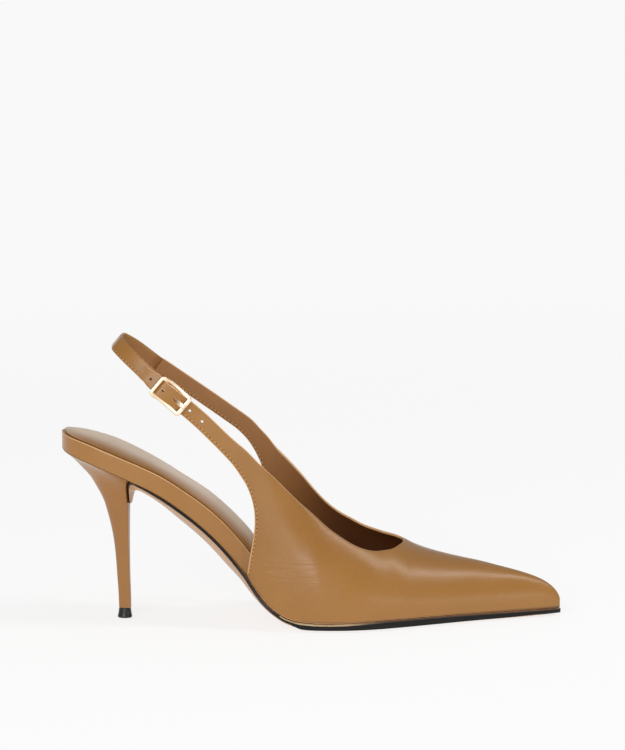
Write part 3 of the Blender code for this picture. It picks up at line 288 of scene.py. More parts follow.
SIDE_COLUMNS = 24          # from the feather line to the top edge
STRAP_COLUMNS = 8          # the uppermost of them run on into the strap
VAMP_ROWS = denser((THROAT, 0.6895, 0.697, 0.708, 0.723, 0.742, 0.765, 0.79, 0.82, 0.85, 0.88,
                    0.91, 0.937, 0.959, 0.976, 0.988, 0.995, 0.9982))[1:]
# Wing rows from the back edge to the throat, as shares of the way
WING_ROWS = denser((0.0, 0.057, 0.117, 0.18, 0.247, 0.32, 0.397, 0.477, 0.557, 0.635, 0.71,
                    0.778, 0.838, 0.888, 0.93, 0.962, 0.985))[1:]
INNER_TIP = 0.972          # station where the toe's inside ends
FEATHER_INSET = 0.0003
GIRTH_RISE = 0.008         # height over which the upper swells from the feather line
ROUNDNESS = 2.15           # 2 is an ellipse, more is squarer


def x_at(station):
    return (station - TREAD_CENTRE) * LENGTH


def station_at(x):
    return x / LENGTH + TREAD_CENTRE


def plan(station, inset=0.0):
    """Outer and inner side of the sole's outline at a station."""
    lateral = -read(PLAN, "lateral", station) * BALL_WIDTH + inset
    medial = read(PLAN, "medial", station) * BALL_WIDTH - inset
    if lateral > medial:
        lateral = medial = (lateral + medial) / 2
    return lateral, medial


def bed(station, y=None):
    """Height of the outsole's top, or of the seat that the heel carries."""
    height = (SOLE_BED + read(BED, "arch", station) * (HEEL_HEIGHT - SOLE_BED)
              + read(BED, "spring", station) * TOE_SPRING)
    lift = read(BED, "lift", station) * MEDIAL_LIFT
    if y is None or lift == 0:
        return height
    lateral, medial = plan(station)
    return height + lift * ease((y - lateral) / max(medial - lateral, GAP))


def heel_side(height):
    """Half width of the heel where its breast is at this height."""
    return read(HEEL, "side", height / HEEL_HEIGHT) * BALL_WIDTH


BREAST_BOW = 0.12          # hollow of the heel's breast, as a share of its half width
BREAST_WIDTH = 0.96        # flat part of it, as a share of the heel's width
HEEL_SQUARE = 0.86         # how square the heel is behind it, 1 for round


def breast_bow(y, half_width):
    """How far the heel's breast falls back beside its middle line."""
    return BREAST_BOW * half_width * (y / half_width) ** 2


def tongue_ring(row):
    """Cross-section of the outsole where it runs down the heel's breast."""
    side = TONGUE["side"][row] * BALL_WIDTH
    top, bottom = [], []
    for across in SOLE_ACROSS:
        y = across * side
        height = TONGUE["glue_height"][row] * HEEL_HEIGHT
        bow = breast_bow(y, heel_side(height)) * (1 - row / len(TONGUE["row"]))
        top.append((x_at(TONGUE["glue"][row]) - bow, y, height))
        middle = 1 - across * across
        x = mix(x_at(TONGUE["edge"][row]), x_at(TONGUE["middle"][row]), middle)
        z = mix(TONGUE["edge_height"][row], TONGUE["middle_height"][row], middle) * HEEL_HEIGHT
        bottom.append((x - bow, y, z))
    return top + bottom[::-1]


def tread_height(station):
    """Flat tread on the floor, and a slight rise ahead of it."""
    tip = max(0.0, (station - TIP_START) / (1 - TIP_START))
    return TREAD_SPRING * ease((station - TREAD_FRONT) / (1 - TREAD_FRONT)) + TIP_RISE * tip ** 2


def sole_ring(station):
    """Cross-section of the outsole: a thin edge and an underside that bulges from it."""
    lateral, medial = plan(station)
    slope = (bed(station + STEP) - bed(station - STEP)) / (2 * STEP * LENGTH)
    steep = math.hypot(1.0, slope)
    flat = ease((station - FLAT_START) / (TREAD_BACK - FLAT_START))
    lean, drop = slope / steep * (1 - flat), mix(1.0 / steep, 1.0, flat)
    top, bottom = [], []
    for across in SOLE_ACROSS:
        y = mix(lateral, medial, (across + 1) / 2)
        z = bed(station, y)
        top.append((x_at(station), y, z))
        bulge = mix(1 - across * across,
                    1 - max(0.0, (abs(across) - FLAT_SHARE) / (1 - FLAT_SHARE)) ** 2, flat)
        if medial == lateral:
            bulge = 0.0
        if station >= TREAD_BACK:
            under = tread_height(station) + EDGE_RISE * (1 - bulge)
            bottom.append((x_at(station), y, under))
        else:
            waist = WAIST_EDGE + read(BED, "crown", station) * WAIST_CROWN * bulge
            reach = z - EDGE_RISE * (1 - bulge)
            depth = mix(waist, min(waist * TREAD_DEEPER, reach), flat)
            bottom.append((x_at(station) + lean * depth, y, z - drop * depth))
    return top + bottom[::-1]


def board_top(station, y):
    """Top of the covered board over the bed, lower towards its inner side."""
    lateral, medial = plan(station)
    share = ease((y - lateral) / max(medial - lateral, GAP))
    height = read(RAND, "height", station) - share * read(RAND, "drop", station)
    return bed(station, y) + GAP + height * RAND_HEIGHT


def board_inset(station):
    return read(RAND, "inset", station) * (WALL + 2 * GAP)


def board_frame(t, margin=0.0):
    """Station and sides of the board's row t, which runs from 0 at the heel to 1 at the toe."""
    back = (board_inset(0.0) + margin) / LENGTH
    front = INNER_TIP - (3 * GAP + margin) / LENGTH
    near = BOARD_ENDS
    station = t
    if t < near:
        station = mix(back, near, t / near)
    if t > 1 - near:
        station = mix(1 - near, front, (t - 1 + near) / near)
    lateral, medial = plan(t)
    inset = min(board_inset(station) + margin, 0.35 * (medial - lateral))
    return station, lateral + inset, medial - inset


def feather(side, station):
    """The sole's edge on one side, and the height where the upper starts from it."""
    edge = plan(station)[side == "medial"]
    return edge, bed(station, edge) + GAP


def ridge_height(station, inner):
    return read(LAST, "ridge", station) * THROAT_HEIGHT - (WALL if inner else 0.0)


def section(side, station, height, inner):
    """Side of the upper at a station and a height, on its outer or its inner face."""
    sign = -1 if side == "lateral" else 1
    edge, start = feather(side, station)
    girth = read(LAST, side, station) * BALL_WIDTH
    swell = 1 - math.exp(-max(0.0, height - start) / GIRTH_RISE)
    width = mix(sign * edge - FEATHER_INSET, girth, swell) - (WALL if inner else 0.0)
    centre = read(LAST, "ridge_side", station) * BALL_WIDTH
    share = min(1.0, max(0.0, (height - start) / (ridge_height(station, inner) - start)))
    reach = (1 - share ** ROUNDNESS) ** (1 / ROUNDNESS)
    return centre + (sign * width - centre) * reach


def wall_place(side, station, height, inner):
    return Vector((x_at(station), section(side, station, height, inner), height))


def inner_station(station):
    """Where the inside of the toe lies for a row of the outside."""
    if station <= THROAT:
        return station
    return THROAT + (station - THROAT) * (INNER_TIP - THROAT) / (VAMP_ROWS[-1] - THROAT)


def wall_point(side, low, high, top, column, inner, bulge=0.0, spread=(0.0, 0.0)):
    """Point of a row that starts at the feather line and ends at height top. Beside the back
    edge the columns keep the spread they have there."""
    v = column / SIDE_COLUMNS
    station = mix(low, high, v) + bulge
    if inner:
        station = inner_station(station)
    start = feather(side, station)[1]
    ridge = ridge_height(station, inner)
    if top is None:
        top = ridge
    elif inner:
        top -= WALL * max(0.0, (top - start) / (ridge_height(station, False) - start))
    share = min(1.0, (top - start) / (ridge - start))
    swing = math.asin(min(1.0, max(0.05, share)))
    rise = mix(math.sin(v * swing) / math.sin(swing), *spread)
    return wall_place(side, station, start + (top - start) * rise, inner)


def back_edge_row(side, inner):
    """The wing's back edge from the sole up to the strap, then on across the strap's flare."""
    points = []
    lower = SIDE_COLUMNS - STRAP_COLUMNS
    start = WING["height"][0] * STRAP_HEIGHT
    end = WING["height"][-1] * STRAP_HEIGHT
    for column in range(lower):
        height = mix(start, end, column / lower)
        station = read(WING, side, height / STRAP_HEIGHT)
        if column == 0:
            height = feather(side, station)[1]
        points.append(wall_place(side, station, height, inner))
    return points + flare_row(side, len(FLARE[side]["row"]) - 1, inner)


def flare_row(side, row, inner):
    """Across the strap where it widens into the wing."""
    flare = FLARE[side]
    points = []
    for i in range(STRAP_COLUMNS + 1):
        v = i / STRAP_COLUMNS
        station = mix(read(flare, "low", row), read(flare, "high", row), v)
        height = mix(read(flare, "low_height", row), read(flare, "high_height", row),
                     v) * STRAP_HEIGHT
        points.append(wall_place(side, station, height, inner))
    return points


# Buckle, along the outer strap: its place, and how far each layer stands out from the strap's
# inner face, as shares of WALL
BUCKLE_STATION = 0.225
CENTRE_BAR_PLACE = -0.26   # centre bar along the buckle, as a share of its length
CENTRE_BAR_OUT = 1.30
HOLED_STRAP = table(
    "along out",
    (-1.0, 1.16), (-0.64, 1.18), (-0.52, 1.28), (-0.43, 1.6), (-0.385, 2.0), (-0.335, 2.5),
    (-0.24, 2.58), (-0.12, 2.54), (0.0, 2.4), (0.105, 2.13), (0.21, 1.73), (0.31, 1.33),
    (0.46, 0.67), (0.62, 0.27), (0.78, 0.07), (0.95, 0.0), (2.0, 0.0))
FREE_END = -1.0            # end of the holed strap, in buckle lengths from the buckle
END_ROUND = 0.1            # length of its rounded tip, in the same
END_WIDTH = 0.45           # least width of the tip, as a share of the strap's
END_SLIM = 0.0007          # how much narrower the free end is on each side
SLIM_START = -0.6          # where it starts to narrow, in buckle lengths from the buckle
SLIM_RUN = 0.2
SKIVED = 0.5               # thickness of its end, as a share of WALL
SKIVED_LENGTH = 0.34       # stretch over which it thins, in buckle lengths


def strap_line(side, station):
    """Middle of the strap beside the ankle, its direction and its width direction."""
    columns = STRAP_SIDE[side]
    height = read(columns, "height", station) * STRAP_HEIGHT
    rise = read(columns, "height", station + STEP) - read(columns, "height", station - STEP)
    along = Vector((2 * STEP * LENGTH, 0, rise * STRAP_HEIGHT)).normalized()
    across = Vector((-along.z, 0, along.x))
    return Vector((x_at(station), 0, height)), along, across


def strap_place(distance):
    """Station on the outer strap at a distance along it from the buckle's middle."""
    station = BUCKLE_STATION
    steps = 24
    for _ in range(steps):
        along = strap_line("lateral", station)[1]
        station += distance / steps * along.x / LENGTH
    return station


def outward(side, station):
    """Level direction straight out of the strap beside the ankle."""
    widening = read(LAST, side, station + STEP) - read(LAST, side, station - STEP)
    slope = widening * BALL_WIDTH / (2 * STEP * LENGTH)
    return Vector((-slope, -1 if side == "lateral" else 1, 0)).normalized()


def strap_point(distance, across, out):
    """Place by distance along the outer strap, distance over its middle line, and height over
    its inner face."""
    station = strap_place(distance)
    middle, _, over = strap_line("lateral", station)
    point = middle + over * across
    point.y = section("lateral", station, middle.z, True)
    return point + outward("lateral", station) * out


def strap_row(side, station, inner, narrow=0.0):
    middle, _, across = strap_line(side, station)
    points = []
    for i in range(STRAP_COLUMNS + 1):
        offset = mix(-1, 1, i / STRAP_COLUMNS) * (STRAP_WIDTH / 2 - narrow)
        point = middle + across * offset
        point.y = section(side, station_at(point.x), point.z, inner)
        points.append(point)
    return points


def holed_row(distance, inner, narrow=0.0):
    """Across the holed strap, which rides over the buckle's centre bar."""
    share = distance / BUCKLE_LENGTH
    skived = mix(SKIVED, 1.0, ease((share - FREE_END) / SKIVED_LENGTH))
    out = read(HOLED_STRAP, "out", share) * WALL + (0.0 if inner else WALL * skived)
    return [strap_point(distance, mix(-1, 1, i / STRAP_COLUMNS) * (STRAP_WIDTH / 2 - narrow), out)
            for i in range(STRAP_COLUMNS + 1)]


HOLED_ROWS = denser((FREE_END, -0.985, -0.94, -0.84, -0.72, -0.61, -0.52, -0.45, -0.39, -0.34,
                     -0.27, -0.17, -0.08, 0.0, 0.09, 0.18, 0.27, 0.37, 0.47, 0.57, 0.67, 0.78,
                     0.9, 1.05, 1.22))
STUB_ROWS = denser((STUB_END, 0.194, 0.206, 0.218, 0.232, 0.248, 0.266, 0.284, 0.302, 0.322,
                    0.343))


def wing_rows(side, inner):
    """Rows of one side: strap rows hold only the uppermost columns, and the rest are full."""
    flare = FLARE[side]
    count = len(flare["row"]) - 1
    rows = []
    if side == "lateral":
        for share in HOLED_ROWS:
            turn = min((share - FREE_END) / END_ROUND, 1.0)
            tip = math.sqrt(max(0.0, 1 - (turn - 1) ** 2))
            narrow = (1 - max(tip, END_WIDTH)) * STRAP_WIDTH / 2
            narrow = max(narrow, END_SLIM * ease((SLIM_START - share) / SLIM_RUN))
            rows.append(holed_row(share * BUCKLE_LENGTH, inner, narrow))
    else:
        rows += [strap_row(side, station, inner) for station in STUB_ROWS[:-1]]
    rows += [flare_row(side, row / 2, inner) for row in range(2 * count)]
    back_edge = back_edge_row(side, inner)
    rows.append(back_edge)
    corner = read(WING, side, WING["height"][0])
    top_corner = flare["high"][count]
    for k, share in enumerate(WING_ROWS):
        low, high = mix(corner, THROAT, share), mix(top_corner, THROAT, share)
        fade = max(0.0, 1 - (k + 1) / 12) ** 1.5
        row = []
        for column in range(SIDE_COLUMNS + 1):
            v = column / SIDE_COLUMNS
            base = back_edge[column]
            bulge = (station_at(base.x) - mix(corner, top_corner, v)) * fade
            top = read(TOPLINE, side, high) * STRAP_HEIGHT
            spread = ((base.z - back_edge[0].z) / (back_edge[-1].z - back_edge[0].z),
                      (1 - share) ** 2.5)
            row.append(wall_point(side, low, high, top, column, inner, bulge, spread))
        rows.append(row)
    for station in (THROAT,) + VAMP_ROWS:
        rows.append([wall_point(side, station, station, None, column, inner)
                     for column in range(SIDE_COLUMNS + 1)])
    return rows


SLING = 0.0014             # thickness of the strap round the heel
SLING_TAB = 0.0007         # its end, thinned where it wraps the centre bar
# The loop round the heel, from its middle to the side: half width as a share of BALL_WIDTH
LOOP = table(
    "turn reach station",
    (0.0, 0.0, 0.1148), (0.25, 0.112, 0.1171), (0.5, 0.196, 0.1322), (0.75, 0.256, 0.156),
    (1.0, 0.2955, 0.1825))
LOOP_STEP = 0.03           # turn to each side over which its direction is taken
LOOP_TILT = 0.15           # station whose tilt the strap keeps at the back of the heel
LOOP_ROWS = denser(denser((0.0, 0.12, 0.24, 0.36, 0.48, 0.6, 0.72, 0.86, 1.0)))
# Between hook and loop: place in widths of the centre bar, height and thickness as shares
TAB_ROWS = ((-2.6, 0.6, 0.5), (-4.0, 0.25, 0.8), (-5.6, 0.0, 1.0))
LAP_ROWS = (0.187, 0.196, 0.208, 0.22, 0.2285, 0.23)
LAP_OUT = 1.2              # lap over the stub's inner face, as a share of WALL
LAP_END = 0.8              # width of its last row, as a share of the strap's
# Outline of the sling's section: place across, and height as a share of its thickness
SLING_EDGE = ((-1.0, 0.3), (-0.9, 0.0), (0.9, 0.0), (1.0, 0.3), (1.0, 0.7), (0.9, 1.0),
              (-0.9, 1.0), (-1.0, 0.7))


def loop_point(turn, offset, out):
    """Place on the loop round the heel: turn is -1 at the outer side and 1 at the inner side."""
    def base(t):
        side = "lateral" if t < 0 else "medial"
        station = read(LOOP, "station", abs(t))
        height = read(STRAP_SIDE[side], "height", station) * STRAP_HEIGHT
        reach = math.copysign(read(LOOP, "reach", abs(t)), t) * BALL_WIDTH
        return Vector((x_at(station), reach, height))

    along = (base(min(1.0, turn + LOOP_STEP)) - base(max(-1.0, turn - LOOP_STEP))).normalized()
    side = "lateral" if turn < 0 else "medial"
    station = read(LOOP, "station", abs(turn))
    across = mix(strap_line("lateral", LOOP_TILT)[2], strap_line(side, station)[2], abs(turn))
    across = (across - along * across.dot(along)).normalized()
    normal = along.cross(across)
    if normal.x > 0 or (abs(turn) > 0.5 and normal.y * turn < 0):
        normal = -normal
    return base(turn) + across * offset + normal * out


def lap_point(station, offset, out):
    """Place on the inner strap beside the ankle."""
    middle, _, across = strap_line("medial", station)
    point = middle + across * offset
    point.y = section("medial", station_at(point.x), point.z, True)
    return point + outward("medial", station) * out


def hook_rings():
    """The sling's end, wrapped round the buckle's centre bar: over it, round and back under."""
    bar = CENTRE_BAR_PLACE * BUCKLE_LENGTH
    level = CENTRE_BAR_OUT * WALL
    radius = CENTRE_WIRE / 2 + GAP
    path = [(bar - back * radius, level + radius, 0.0, 1.0) for back in (1.5, 0.8)]
    turns = 8
    for i in range(turns + 1):
        angle = math.pi / 2 - math.pi * i / turns
        c, s = math.cos(angle), math.sin(angle)
        path.append((bar + radius * c, level + radius * s, c, s))
    path.append((bar - 1.5 * radius, level - radius, 0.0, -1.0))
    return [[strap_point(along + c * SLING_TAB * height, across * STRAP_WIDTH / 2,
                         out + s * SLING_TAB * height) for across, height in SLING_EDGE]
            for along, out, c, s in path]


def directions(path, closed=False):
    """The direction of a line at each of its points."""
    last = len(path) - 1
    return [(path[(i + 1) % len(path) if closed or i < last else i]
             - path[i - 1 if closed or i > 0 else i]).normalized() for i in range(len(path))]


def spokes(across, up, count):
    """Even directions round a circle, from across to up."""
    return [across * math.cos(angle) + up * math.sin(angle)
            for angle in (2 * math.pi * k / count for k in range(count))]


def tube_rings(path, radius, sides):
    """Rings round a bent wire; every ring carries on the turn of the one before."""
    rings = []
    normal = None
    for point, along in zip(path, directions(path)):
        if normal is None:
            normal = along.orthogonal()
        normal = (normal - along * normal.dot(along)).normalized()
        rings.append([point + spoke * radius
                      for spoke in spokes(normal, along.cross(normal), sides)])
    return rings


def bar_rings(path, halves, sides, closed, squareness=3.0):
    """Rings of a flat bar: halves gives its half width and half thickness at each point."""
    rings = []
    facing = outward("lateral", BUCKLE_STATION)
    for point, along, (wide, thick) in zip(path, directions(path, closed), halves):
        across = along.cross(facing).normalized()
        out = across.cross(along)
        ring = []
        for k in range(sides):
            angle = 2 * math.pi * (k + 0.5) / sides
            c, s = math.cos(angle), math.sin(angle)
            ring.append(point + across * wide * math.copysign(abs(c) ** (2 / squareness), c)
                        + out * thick * math.copysign(abs(s) ** (2 / squareness), s))
        rings.append(ring)
    return rings


# Rails of the buckle along the strap, in buckle lengths, and their height in shares of WALL
RAIL = table(
    "along out",
    (-0.46, 3.55), (-0.37, 3.4), (-0.26, 2.2), (-0.14, 1.75), (0.03, 1.65), (0.2, 1.85),
    (0.37, 2.4), (0.46, 2.48))
BUCKLE_CORNER = 0.062      # corner radius of the bars' middle line, as a share of its length
SIDE_BAR = 0.00102         # half width of the buckle's rails, and of its bar at each end
BACK_BAR = 0.00086
FRONT_BAR = 0.00108
BAR_THICK = 0.00062        # half thickness of all of them
BLADE = 0.00125            # half width of the prong where it shows
WIRE_SIDES = 20
BLADE_SIDES = 16
BLADE_START = 0.12         # where the prong has begun to widen into its blade, in buckle lengths
BLADE_RUN = 0.06
CURL_START = -15           # where the prong's end begins to wrap the centre bar, in degrees
CURL = 255                 # how far it wraps it
CURL_STEPS = 24
# Prong from the centre bar to its tip on the end bar: buckle lengths along, height in WALL
PRONG = ((-0.17, 2.12), (-0.09, 1.95), (0.00, 1.78), (0.09, 1.66), (0.15, 1.76), (0.205, 2.12),
         (0.255, 2.56), (0.31, 2.98), (0.38, 3.3), (0.44, 3.44), (0.495, 3.38))


# Shading

class Shader:
    """Small helper that adds and links nodes of one material."""

    def __init__(self, name):
        self.material = bpy.data.materials.new(name)
        self.material.use_nodes = True
        self.nodes = self.material.node_tree.nodes
        self.links = self.material.node_tree.links
        self.surface = self.nodes["Principled BSDF"]
        self.place = self.nodes.new("ShaderNodeTexCoord").outputs["Object"]

    def feed(self, socket, value):
        if isinstance(value, bpy.types.NodeSocket):
            self.links.new(value, socket)
        else:
            socket.default_value = value

    def node(self, kind, inputs, **settings):
        made = self.nodes.new(kind)
        for key, value in settings.items():
            setattr(made, key, value)
        for key, value in inputs.items():
            self.feed(made.inputs[key], value)
        return made

    def noise(self, scale, detail=2.0, roughness=0.5, stretch=None, distortion=0.0):
        place = self.place
        if stretch:
            place = self.node("ShaderNodeMapping", {"Vector": place, "Scale": stretch}).outputs[0]
        return self.node("ShaderNodeTexNoise", {
            "Vector": place, "Scale": scale, "Detail": detail, "Roughness": roughness,
            "Distortion": distortion}).outputs["Fac"]

    def cells(self, scale):
        return self.node("ShaderNodeTexVoronoi", {"Vector": self.place, "Scale": scale},
                         feature="F1").outputs["Distance"]

    def math(self, operation, a, b):
        return self.node("ShaderNodeMath", {0: a, 1: b}, operation=operation).outputs[0]

    def spread(self, value, low, high, to_low=0.0, to_high=1.0):
        return self.node("ShaderNodeMapRange", {
            "Value": value, "From Min": low, "From Max": high, "To Min": to_low,
            "To Max": to_high}, interpolation_type="SMOOTHSTEP").outputs["Result"]

    def blend(self, factor, a, b):
        return self.node("ShaderNodeMix", {0: factor, 6: a, 7: b}, data_type="RGBA").outputs[2]

    def axis(self, name):
        """Place along X, Y or Z, in metres."""
        return self.node("ShaderNodeSeparateXYZ", {"Vector": self.place}).outputs[name]

    def near(self, centre, radius):
        """1 at a point, falling to 0 at a distance."""
        away = self.node("ShaderNodeVectorMath", {0: self.place, 1: centre},
                         operation="DISTANCE").outputs["Value"]
        return self.spread(away, 0.0, radius, 1.0, 0.0)

    def bump(self, height, distance, strength=1.0, normal=None):
        inputs = {"Height": height, "Distance": distance, "Strength": strength}
        if normal:
            inputs["Normal"] = normal
        return self.node("ShaderNodeBump", inputs).outputs["Normal"]

    def set(self, **values):
        for key, value in values.items():
            self.feed(self.surface.inputs[key.replace("_", " ")], value)
        return self.material


def shade(red, green, blue):
    """Linear colour from the 0 to 255 values a screen shows."""
    def linear(value):
        value /= 255
        return value / 12.92 if value <= 0.04045 else ((value + 0.055) / 1.055) ** 2.4
    return linear(red), linear(green), linear(blue), 1.0


GRAIN = 1500.0             # cells of leather grain in a metre
LOW_SHADE = (0.0040, 0.0060)    # heights between which the upper takes a painted shade down to the sole
# Places with creases: centre, radius and amount
CREASES = (((-0.030, -0.034, 0.024), 0.020, 0.9), ((-0.006, -0.036, 0.032), 0.022, 0.3),
           ((0.018, -0.024, 0.033), 0.014, 0.25), ((-0.026, 0.032, 0.022), 0.022, 0.4))


def leather(name, light, dark, roughness, creases=False, grain=0.00004, coat=0.15, fade=None,
            painted_sheen=None, shine=0.5):
    """Grained leather. fade gives a second colour and the places along X where it starts and
    is full, and painted_sheen the same along Y: a paler colour that paints a sheen."""
    made = Shader(name)
    tone = made.noise(14.0, 3.0, 0.55)
    fine = made.noise(420.0, 3.0, 0.6)
    mixed = made.math("ADD", made.spread(tone, 0.3, 0.7, 0.0, 0.75),
                      made.spread(fine, 0.3, 0.7, 0.0, 0.25))
    colour = made.blend(mixed, dark, light)
    if fade:
        colour = made.blend(made.spread(made.axis("X"), fade[1], fade[2]), colour, fade[0])
    if painted_sheen:
        # Painted sheen: a paler colour across Y stands in for the gloss's reflection
        colour = made.blend(made.spread(made.axis("Y"), painted_sheen[1], painted_sheen[2]), colour, painted_sheen[0])
    rough = made.spread(made.noise(60.0, 2.0), 0.3, 0.7, roughness - 0.03, roughness + 0.04)
    cells = made.cells(GRAIN)
    normal = made.bump(made.math("ADD", cells, made.math("MULTIPLY", fine, 0.5)), grain, 0.5)
    if creases:
        # Painted shade: the upper's colour darkens towards its foot, where it meets the sole (the
        # creases flag turns this on as well)
        colour = made.blend(made.spread(made.axis("Z"), *LOW_SHADE), shade(84, 54, 26), colour)
        lines = made.noise(95.0, 3.0, 0.6, (0.35, 1.0, 2.4), 0.6)
        soft = made.noise(28.0, 1.0, 0.4, (0.6, 1.0, 1.5))
        where = None
        for centre, radius, amount in CREASES:
            spot = made.math("MULTIPLY", made.near(centre, radius), amount)
            where = spot if where is None else made.math("MAXIMUM", where, spot)
        wrinkle = made.math("MULTIPLY", lines, where)
        normal = made.bump(wrinkle, 0.0011, 1.0, normal)
        normal = made.bump(soft, 0.0011, 0.30, normal)
    return made.set(Base_Color=colour, Roughness=rough, Normal=normal, Coat_Weight=coat,
                    Coat_Roughness=0.22, Specular_IOR_Level=shine)


TAN_LIGHT = shade(160, 110, 46)
TAN_DARK = shade(150, 101, 40)
outer_leather = leather("Upper leather", TAN_LIGHT, TAN_DARK, 0.34, creases=True)
# Pale folded edges and the board's lip: a painted highlight where their rounded edges catch the
# light from above
fold_highlight_leather = leather("Folded edge highlight", shade(222, 176, 128), shade(206, 160, 110), 0.42)
strap_leather = leather("Strap leather", TAN_LIGHT, TAN_DARK, 0.38)
rand_leather = leather("Rand leather", shade(163, 112, 50), shade(153, 103, 44), 0.38)
heel_leather = leather("Heel leather", shade(158, 108, 50), shade(147, 98, 44), 0.32)
# The lining fades into a painted shade towards the toe, deep inside the shoe
lining_leather = leather("Lining leather", shade(158, 108, 56), shade(146, 97, 48), 0.5, coat=0.0,
                         fade=(shade(98, 54, 18), -0.034, 0.012))
# The sock grows paler towards its far, inner side: a painted sheen of its glossy reflection
sock_leather = leather("Sock leather", shade(166, 112, 48), shade(158, 104, 44), 0.40,
                       grain=0.000008, coat=0.0, shine=0.25,
                       painted_sheen=(shade(218, 194, 168), -0.024, 0.004))


def sole_material():
    made = Shader("Sole leather")
    tone = made.noise(30.0, 4.0, 0.6)
    scuff = made.noise(220.0, 4.0, 0.7, (0.3, 1.0, 1.0))
    colour = made.blend(made.spread(made.math("ADD", tone, made.math("MULTIPLY", scuff, 0.4)),
                                    0.4, 1.0), shade(176, 134, 98), shade(196, 156, 118))
    return made.set(Base_Color=colour, Roughness=0.45, Normal=made.bump(scuff, 0.00005, 0.5),
                    Coat_Weight=0.1)


def fibrous(name, dark, light, noise, spread=None, roughness=0.6, relief=0.00004, strength=0.6,
            shine=0.5, fade=None):
    """Two tones mixed by a noise that also gives a slight relief, and fade as in leather."""
    made = Shader(name)
    fibre = made.noise(*noise)
    colour = made.blend(made.spread(fibre, *spread) if spread else fibre, dark, light)
    if fade:
        colour = made.blend(made.spread(made.axis("X"), fade[1], fade[2]), colour, fade[0])
    return made.set(Base_Color=colour, Roughness=roughness, Specular_IOR_Level=shine,
                    Normal=made.bump(fibre, relief, strength))


def metal(name, light, dark):
    made = Shader(name)
    tone = made.noise(500.0, 3.0)
    return made.set(Base_Color=made.blend(tone, dark, light), Metallic=1.0,
                    Roughness=made.spread(made.noise(900.0, 2.0), 0.3, 0.7, 0.30, 0.38))


sole_leather = sole_material()
black_edge = fibrous("Painted edge", shade(9, 8, 8), shade(22, 20, 19),
                     (300.0, 3.0, 0.6, (0.2, 0.2, 3.0)), (0.35, 0.7), 0.30, shine=0.26)
lift_rubber = fibrous("Lift rubber", shade(8, 8, 9), shade(20, 20, 21), (900.0, 2.0), (0.4, 0.7),
                      0.32, strength=0.5)
# Pale edge line that shows between the upper and the painted sole edge, darker towards the toe
pale_edge_line = fibrous("Pale edge line", shade(140, 112, 74), shade(196, 172, 134),
                    (420.0, 4.0, 0.7, (0.3, 0.3, 2.5)), (0.3, 0.7), relief=0.00006,
                    fade=(shade(60, 40, 22), 0.0, 0.03))
pale_gold = metal("Pale gold", shade(255, 234, 204), shade(248, 220, 184))
TWIST = (2600.0, 2.0, 0.6, (1.0, 1.0, 0.4))
thread = fibrous("Thread", shade(176, 130, 78), shade(206, 160, 104), TWIST, relief=0.00003)
hole_shade = fibrous("Needle hole", shade(58, 32, 12), shade(78, 44, 18), TWIST, relief=0.00003)


# Shapes

def make_piece(name, points, faces, materials, levels=0, pick=None, sharp=None):
    """A finished mesh piece: welded, subdivided and smooth, riding on the shoe."""
    mesh = bpy.data.meshes.new(name)
    shape = bmesh.new()
    corners = [shape.verts.new(point) for point in points]
    for face in faces:
        if len(set(face)) > 2:
            made = shape.faces.new([corners[i] for i in face])
            if pick:
                made.material_index = pick(face)
    bmesh.ops.remove_doubles(shape, verts=shape.verts, dist=1e-6)
    bmesh.ops.recalc_face_normals(shape, faces=shape.faces)
    shape.to_mesh(mesh)
    shape.free()
    for material in materials:
        mesh.materials.append(material)
    thing = bpy.data.objects.new(name, mesh)
    bpy.context.scene.collection.objects.link(thing)
    if levels:
        smooth = thing.modifiers.new("Smooth", "SUBSURF")
        smooth.levels = smooth.render_levels = levels
    mesh.shade_smooth()
    if sharp:
        mesh.set_sharp_from_angle(angle=math.radians(sharp))
    return thing


def settle(thing):
    """Applies a piece's modifiers, so that its mesh is what shows."""
    graph = bpy.context.evaluated_depsgraph_get()
    mesh = bpy.data.meshes.new_from_object(thing.evaluated_get(graph), depsgraph=graph)
    thing.modifiers.clear()
    thing.data = mesh
    return thing


def loft(rings, caps=(), closed=False, base=0):
    """Points and faces of a skin through rings, numbered from base, with caps on some rings."""
    count = len(rings[0])
    faces = []
    for r in range(len(rings) if closed else len(rings) - 1):
        low, high = base + r * count, base + (r + 1) % len(rings) * count
        for i in range(count):
            j = (i + 1) % count
            faces.append((low + i, low + j, high + j, high + i))
    for cap in caps:
        first = base + cap % len(rings) * count
        faces.append(tuple(range(first, first + count)))
    return [point for ring in rings for point in ring], faces


def cut_out(thing, cutter):
    """Cuts one piece's shape out of another and keeps the cut's edges sharp."""
    cut = thing.modifiers.new("Cut", "BOOLEAN")
    cut.operation = "DIFFERENCE"
    cut.object = cutter
    settle(thing)
    bpy.data.objects.remove(cutter, do_unlink=True)
    thing.data.shade_smooth()
    thing.data.set_sharp_from_angle(angle=math.radians(50))


def drawn_in(ring, share):
    """The ring moved towards its own middle, to hold the corner of a cap."""
    middle = [sum(values) / len(ring) for values in zip(*ring)]
    return [tuple(mix(value, centre, share) for value, centre in zip(point, middle))
            for point in ring]


def stand_in(piece, slot, *nodes):
    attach(piece, "root")
    if nodes:
        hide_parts(*nodes)
    return piece


FOLD_BULGE = 0.22          # how far the folded edge bulges, as a share of the wall
